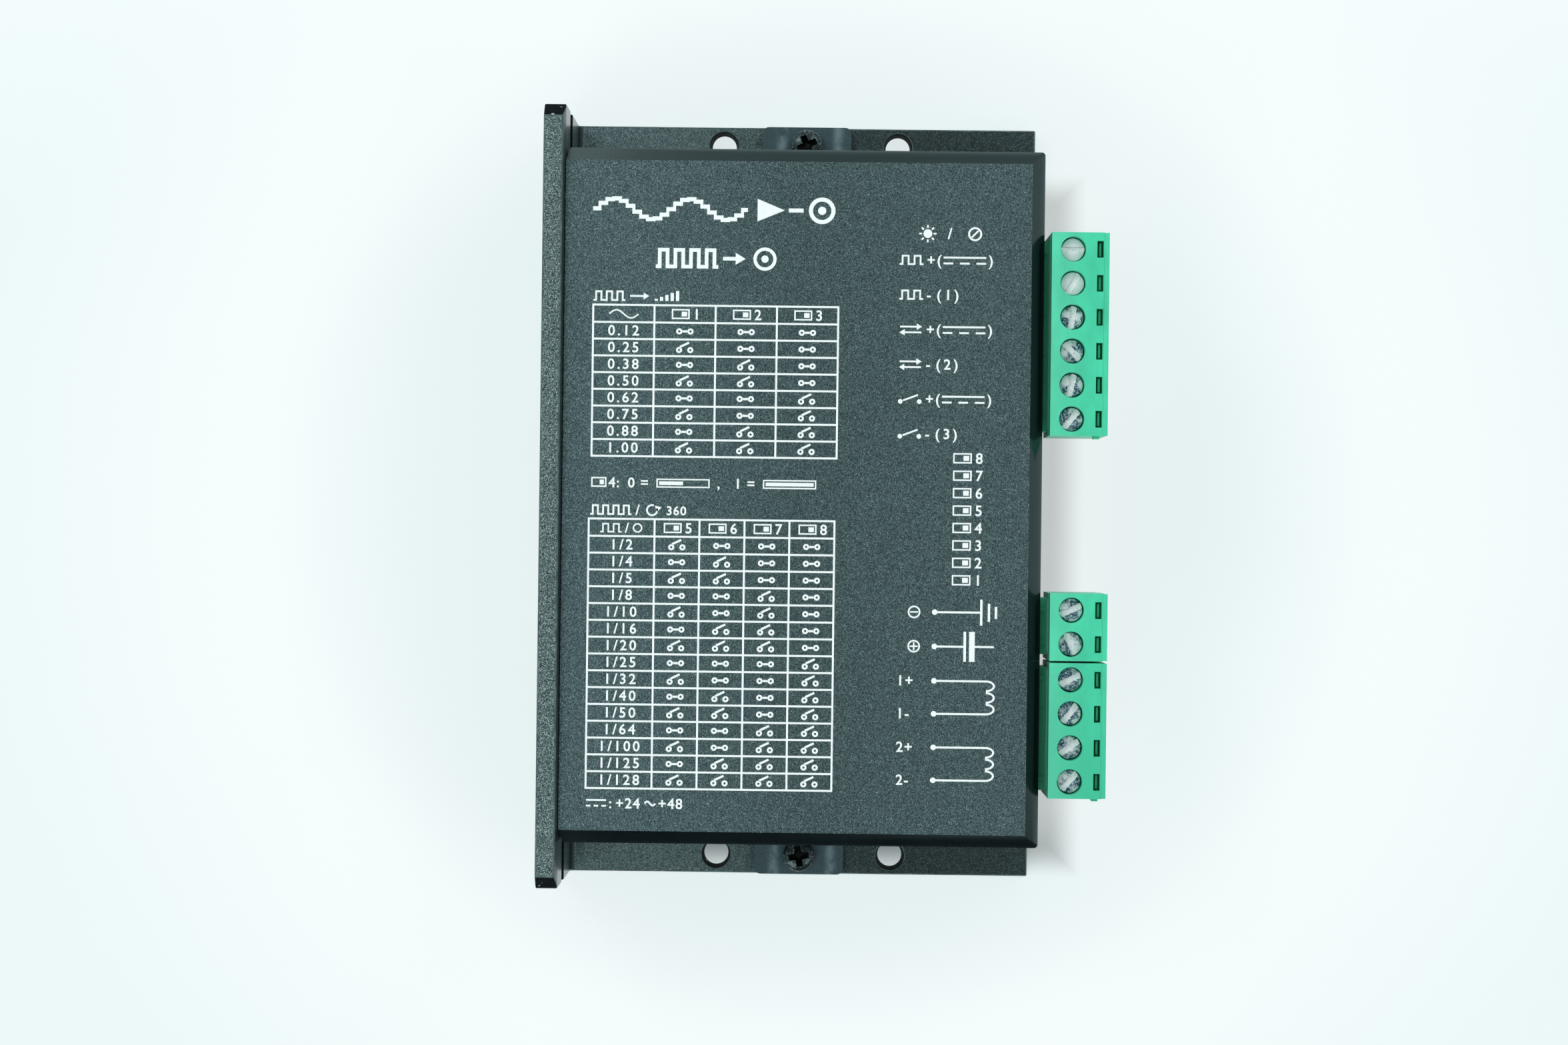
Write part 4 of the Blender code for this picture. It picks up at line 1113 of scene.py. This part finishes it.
def print_signals(sheet):
    left, first, step = 53.6, 35.35, 5.22
    for i in range(6):
        y, plus = first - i * step, i % 2 == 0
        kind = i // 2
        if kind == 0:
            sheet.pulses(left, y + 0.1, 2, 3.6, 1.25, 0.26)
        elif kind == 1:
            sheet.arrow(left + 0.2, y + 1.15, 3.3, 0.8, 0.26)
            sheet.arrow(left + 3.4, y + 0.3, -3.3, 0.8, 0.26)
        else:
            sheet.disc((left + 0.35, y + 0.35), 0.35)
            sheet.disc((left + 3.2, y + 0.35), 0.35)
            sheet.stroke([(left + 0.75, y + 0.5), (left + 3.0, y + 1.35)], 0.26)
        sheet.text("+" if plus else "-", left + 4.1, y, 1.5)
        sheet.text("(", left + 5.6, y, 1.5)
        if plus:
            sheet.direct_current(left + 6.6, y + 0.7, 6.4, 0.28)
            sheet.text(")", left + 13.4, y, 1.5)
        else:
            sheet.text(str(i // 2 + 1), left + 6.8, y, 1.5)
            sheet.text(")", left + 8.3, y, 1.5)


def print_switches(sheet):
    left, low, step = 62.0, -12.7, 2.615
    for i in range(8):
        sheet.switch(left, low + i * step, 2.8, 1.55)
        sheet.text(str(i + 1), left + 3.35, low + i * step, 1.55)


def pin_line(sheet, x, y, end, dot=0.42, width=0.3):
    """A round terminal dot with a line to the right, as one outline."""
    lean = degrees(asin(width / 2 / dot))
    sheet.patch(arc((x, y), dot, lean, 360 - lean, 30) + [(end, y - width / 2), (end, y + width / 2)])


def print_outputs(sheet):
    left, dot = 53.8, 59.5
    rows = (-16.75, -21.9, -27.06, -32.0, -37.04, -41.98)
    for y, sign in zip(rows[:2], "-+"):
        sheet.ring((left + 2.6, y), 0.95, 0.24)
        sheet.bar(left + 2.0, y - 0.11, left + 3.2, y + 0.11)
        if sign == "+":
            for a, b in ((-0.6, -0.11), (0.11, 0.6)):
                sheet.bar(left + 2.49, y + a, left + 2.71, y + b)
    pin_line(sheet, dot, rows[0], 66.3)
    for x, high in ((66.3, 1.95), (67.45, 1.35), (68.5, 0.9)):
        sheet.bar(x, rows[0] - high, x + 0.36, rows[0] + high)
    pin_line(sheet, dot, rows[1], 63.85)
    sheet.bar(63.85, rows[1] - 2.25, 64.25, rows[1] + 2.25)
    sheet.bar(64.7, rows[1] - 2.25, 65.55, rows[1] + 2.25)
    sheet.bar(65.55, rows[1] - 0.15, 68.4, rows[1] + 0.15)
    for coil in (0, 1):
        top, low = rows[2 + 2 * coil], rows[3 + 2 * coil]
        for y, sign in ((top, "+"), (low, "-")):
            sheet.text(f"{coil + 1}{sign}", left + 0.1, y - 0.72, 1.5)
            pin_line(sheet, dot, y, 67.3)
        hump = (top - low + 0.3) / 3
        for i in range(3):
            centre = (67.3, top + 0.15 - hump * (i + 0.5))
            sheet.sector(centre, (1.35, hump / 2), -90, 90, 0.3)


def make_print():
    sheet = Print()
    print_headings(sheet)
    eighths = [f"{(i + 1) / 8:.2f}" for i in range(8)]
    parts = (2, 4, 5, 8, 10, 16, 20, 25, 32, 40, 50, 64, 100, 125, 128)
    column, head = table(sheet, 7.7, (9.2, 9.2, 9.2, 9.2), 28.85, 2.6, 2.515, eighths, (1, 2, 3),
                         lambda row, k: 1 - (row >> k) % 2)
    sheet.wave(column - 2.2, head + 0.7, 4.4, 0.6)
    column, head = table(sheet, 7.4, (9.9, 6.75, 6.75, 6.75, 6.75), -3.3, 2.6, 2.525,
                         [f"1/{n}" for n in parts], (5, 6, 7, 8), lambda row, k: 1 - ((row + 1) >> k) % 2)
    sheet.pulses(column - 3.2, head + 0.1, 2, 3.2, 1.2)
    sheet.text("/", column + 0.5, head)
    sheet.ring((column + 2.4, head + 0.72), 0.72)
    print_note(sheet)
    sheet.direct_current(7.5, -46.0, 3.0, 0.26)
    sheet.text(":", 10.9, -46.75, 1.5)
    sheet.text("+24", 11.9, -46.75, 1.5)
    sheet.wave(16.3, -46.0, 1.6, 0.3, 0.27)
    sheet.text("+48", 18.3, -46.75, 1.5)
    sheet.disc((57.8, 40.05), 0.66)
    for k in range(8):
        a = tau * k / 8
        sheet.stroke([(57.8 + r * cos(a), 40.05 + r * sin(a)) for r in (0.86, 1.3)], 0.25)
    sheet.text("/", 60.8, 39.3, 1.6)
    sheet.ring((64.9, 40.05), 1.05, 0.28)
    sheet.stroke([(64.4, 39.55), (65.4, 40.55)], 0.26)
    print_signals(sheet)
    print_switches(sheet)
    print_outputs(sheet)
    mesh = sheet.mesh("cover_print", Matrix.Translation((WALL, 0, COVER_TOP)))
    piece("cover_print", mesh, INK, "module")

    digits = Print()
    low, high = box("switch_bank")
    for i in range(1, 9):
        place = box(f"switch_slider_{i}")
        digits.text(str(i), (place[0].y + place[1].y) / 2, high.z - 1.3, 1.0, "CENTER")
    facing_right = Matrix(((0, 0, 1, high.x), (1, 0, 0, 0), (0, 1, 0, 0), (0, 0, 0, 1)))
    piece("switch_digits", digits.mesh("switch_digits", facing_right), INK, "module")


# Studio

DAYLIGHT = (0.93, 1.0, 1.0)
SOFTBOX_SIZE = 0.35
SOFTBOXES = {                    # place in metres and power in watts
    "rear_left": ((-0.55, 0.5, 0.75), 2.1),
    "rear_right": ((0.5, 0.55, 0.75), 1.5),
    "front_left": ((-0.42, -0.66, 0.7), 1.9),
    "front_right": ((0.6, -0.45, 0.75), 1.2),
}
FLOOR_HALF = 1.5
LENS, SENSOR = 78.98, 36.0
CAMERA_AT = (-0.00098, -0.0051, 0.5479)
CAMERA_TURN = (-0.17, -0.543, -0.682)   # degrees about X, Y and Z


def make_studio():
    scene = bpy.context.scene
    scene.view_settings.view_transform = "Standard"
    scene.view_settings.look = "None"

    floor = link("floor", shells(bmesh.ops.create_grid, x_segments=2, y_segments=2, size=FLOOR_HALF))
    floor.data.materials.append(paper())
    floor.location.z = -0.2 * MM

    scene.world = bpy.data.worlds.new("studio")
    scene.world.use_nodes = True
    sky = Nodes(scene.world.node_tree)
    sky.coordinates = sky.node("TexCoord").outputs["Generated"]
    back = sky.tree.nodes["Background"]
    back.inputs["Color"].default_value = (*DAYLIGHT, 1)
    overhead = sky.levels(sky.place("Z"), 0.9, 0.995, 0.78, 0.03)
    front = sky.times(sky.levels(sky.place("Y"), -0.9, 0.0, 0.7, 1.0),
                      sky.levels(sky.place("Y"), 0.5, 1.0, 1.0, 0.68))
    right = sky.levels(sky.place("X"), -0.25, 0.6, 1.14, 0.74)
    sky.feed(back.inputs["Strength"], sky.times(sky.times(overhead, front), right))

    for name, (place, power) in SOFTBOXES.items():
        light = bpy.data.lights.new("softbox_" + name, "AREA")
        light.shape = "RECTANGLE"
        light.size = light.size_y = SOFTBOX_SIZE
        light.energy = power
        light.color = DAYLIGHT
        softbox = show("softbox_" + name, light)
        softbox.location = place
        softbox.rotation_euler = (-Vector(place)).to_track_quat("-Z", "Y").to_euler()

    black = Surface("black_card", specular=0.0)
    card = link("black_card", shells(add_box, (-600, 600), (-212, -210), (0, 90)))
    card.data.transform(Matrix.Scale(MM, 4))
    tone = black.ramp(black.noise(40.0), (0.3, (0.004, 0.004, 0.004)), (0.7, (0.006, 0.006, 0.006)))
    card.data.materials.append(black.finish(tone, 1.0))
    card.visible_camera = card.visible_diffuse = card.visible_shadow = False

    lens = bpy.data.cameras.new("camera")
    lens.lens, lens.sensor_width = LENS, SENSOR
    lens.clip_start, lens.clip_end = 0.01, 20.0
    camera = show("camera", lens)
    about_x, about_y, about_z = (Matrix.Rotation(radians(turn), 4, axis)
                                 for turn, axis in zip(CAMERA_TURN, "XYZ"))
    camera.matrix_world = Matrix.Translation(CAMERA_AT) @ (about_z @ about_y @ about_x).transposed()
    scene.camera = camera


make_heatsink()
make_cover()
make_cover_screws()
make_plugs()
make_terminal_screws()
make_headers()
make_light()
dress_cad_nodes()
make_print()
make_studio()

bpy.context.view_layer.update()
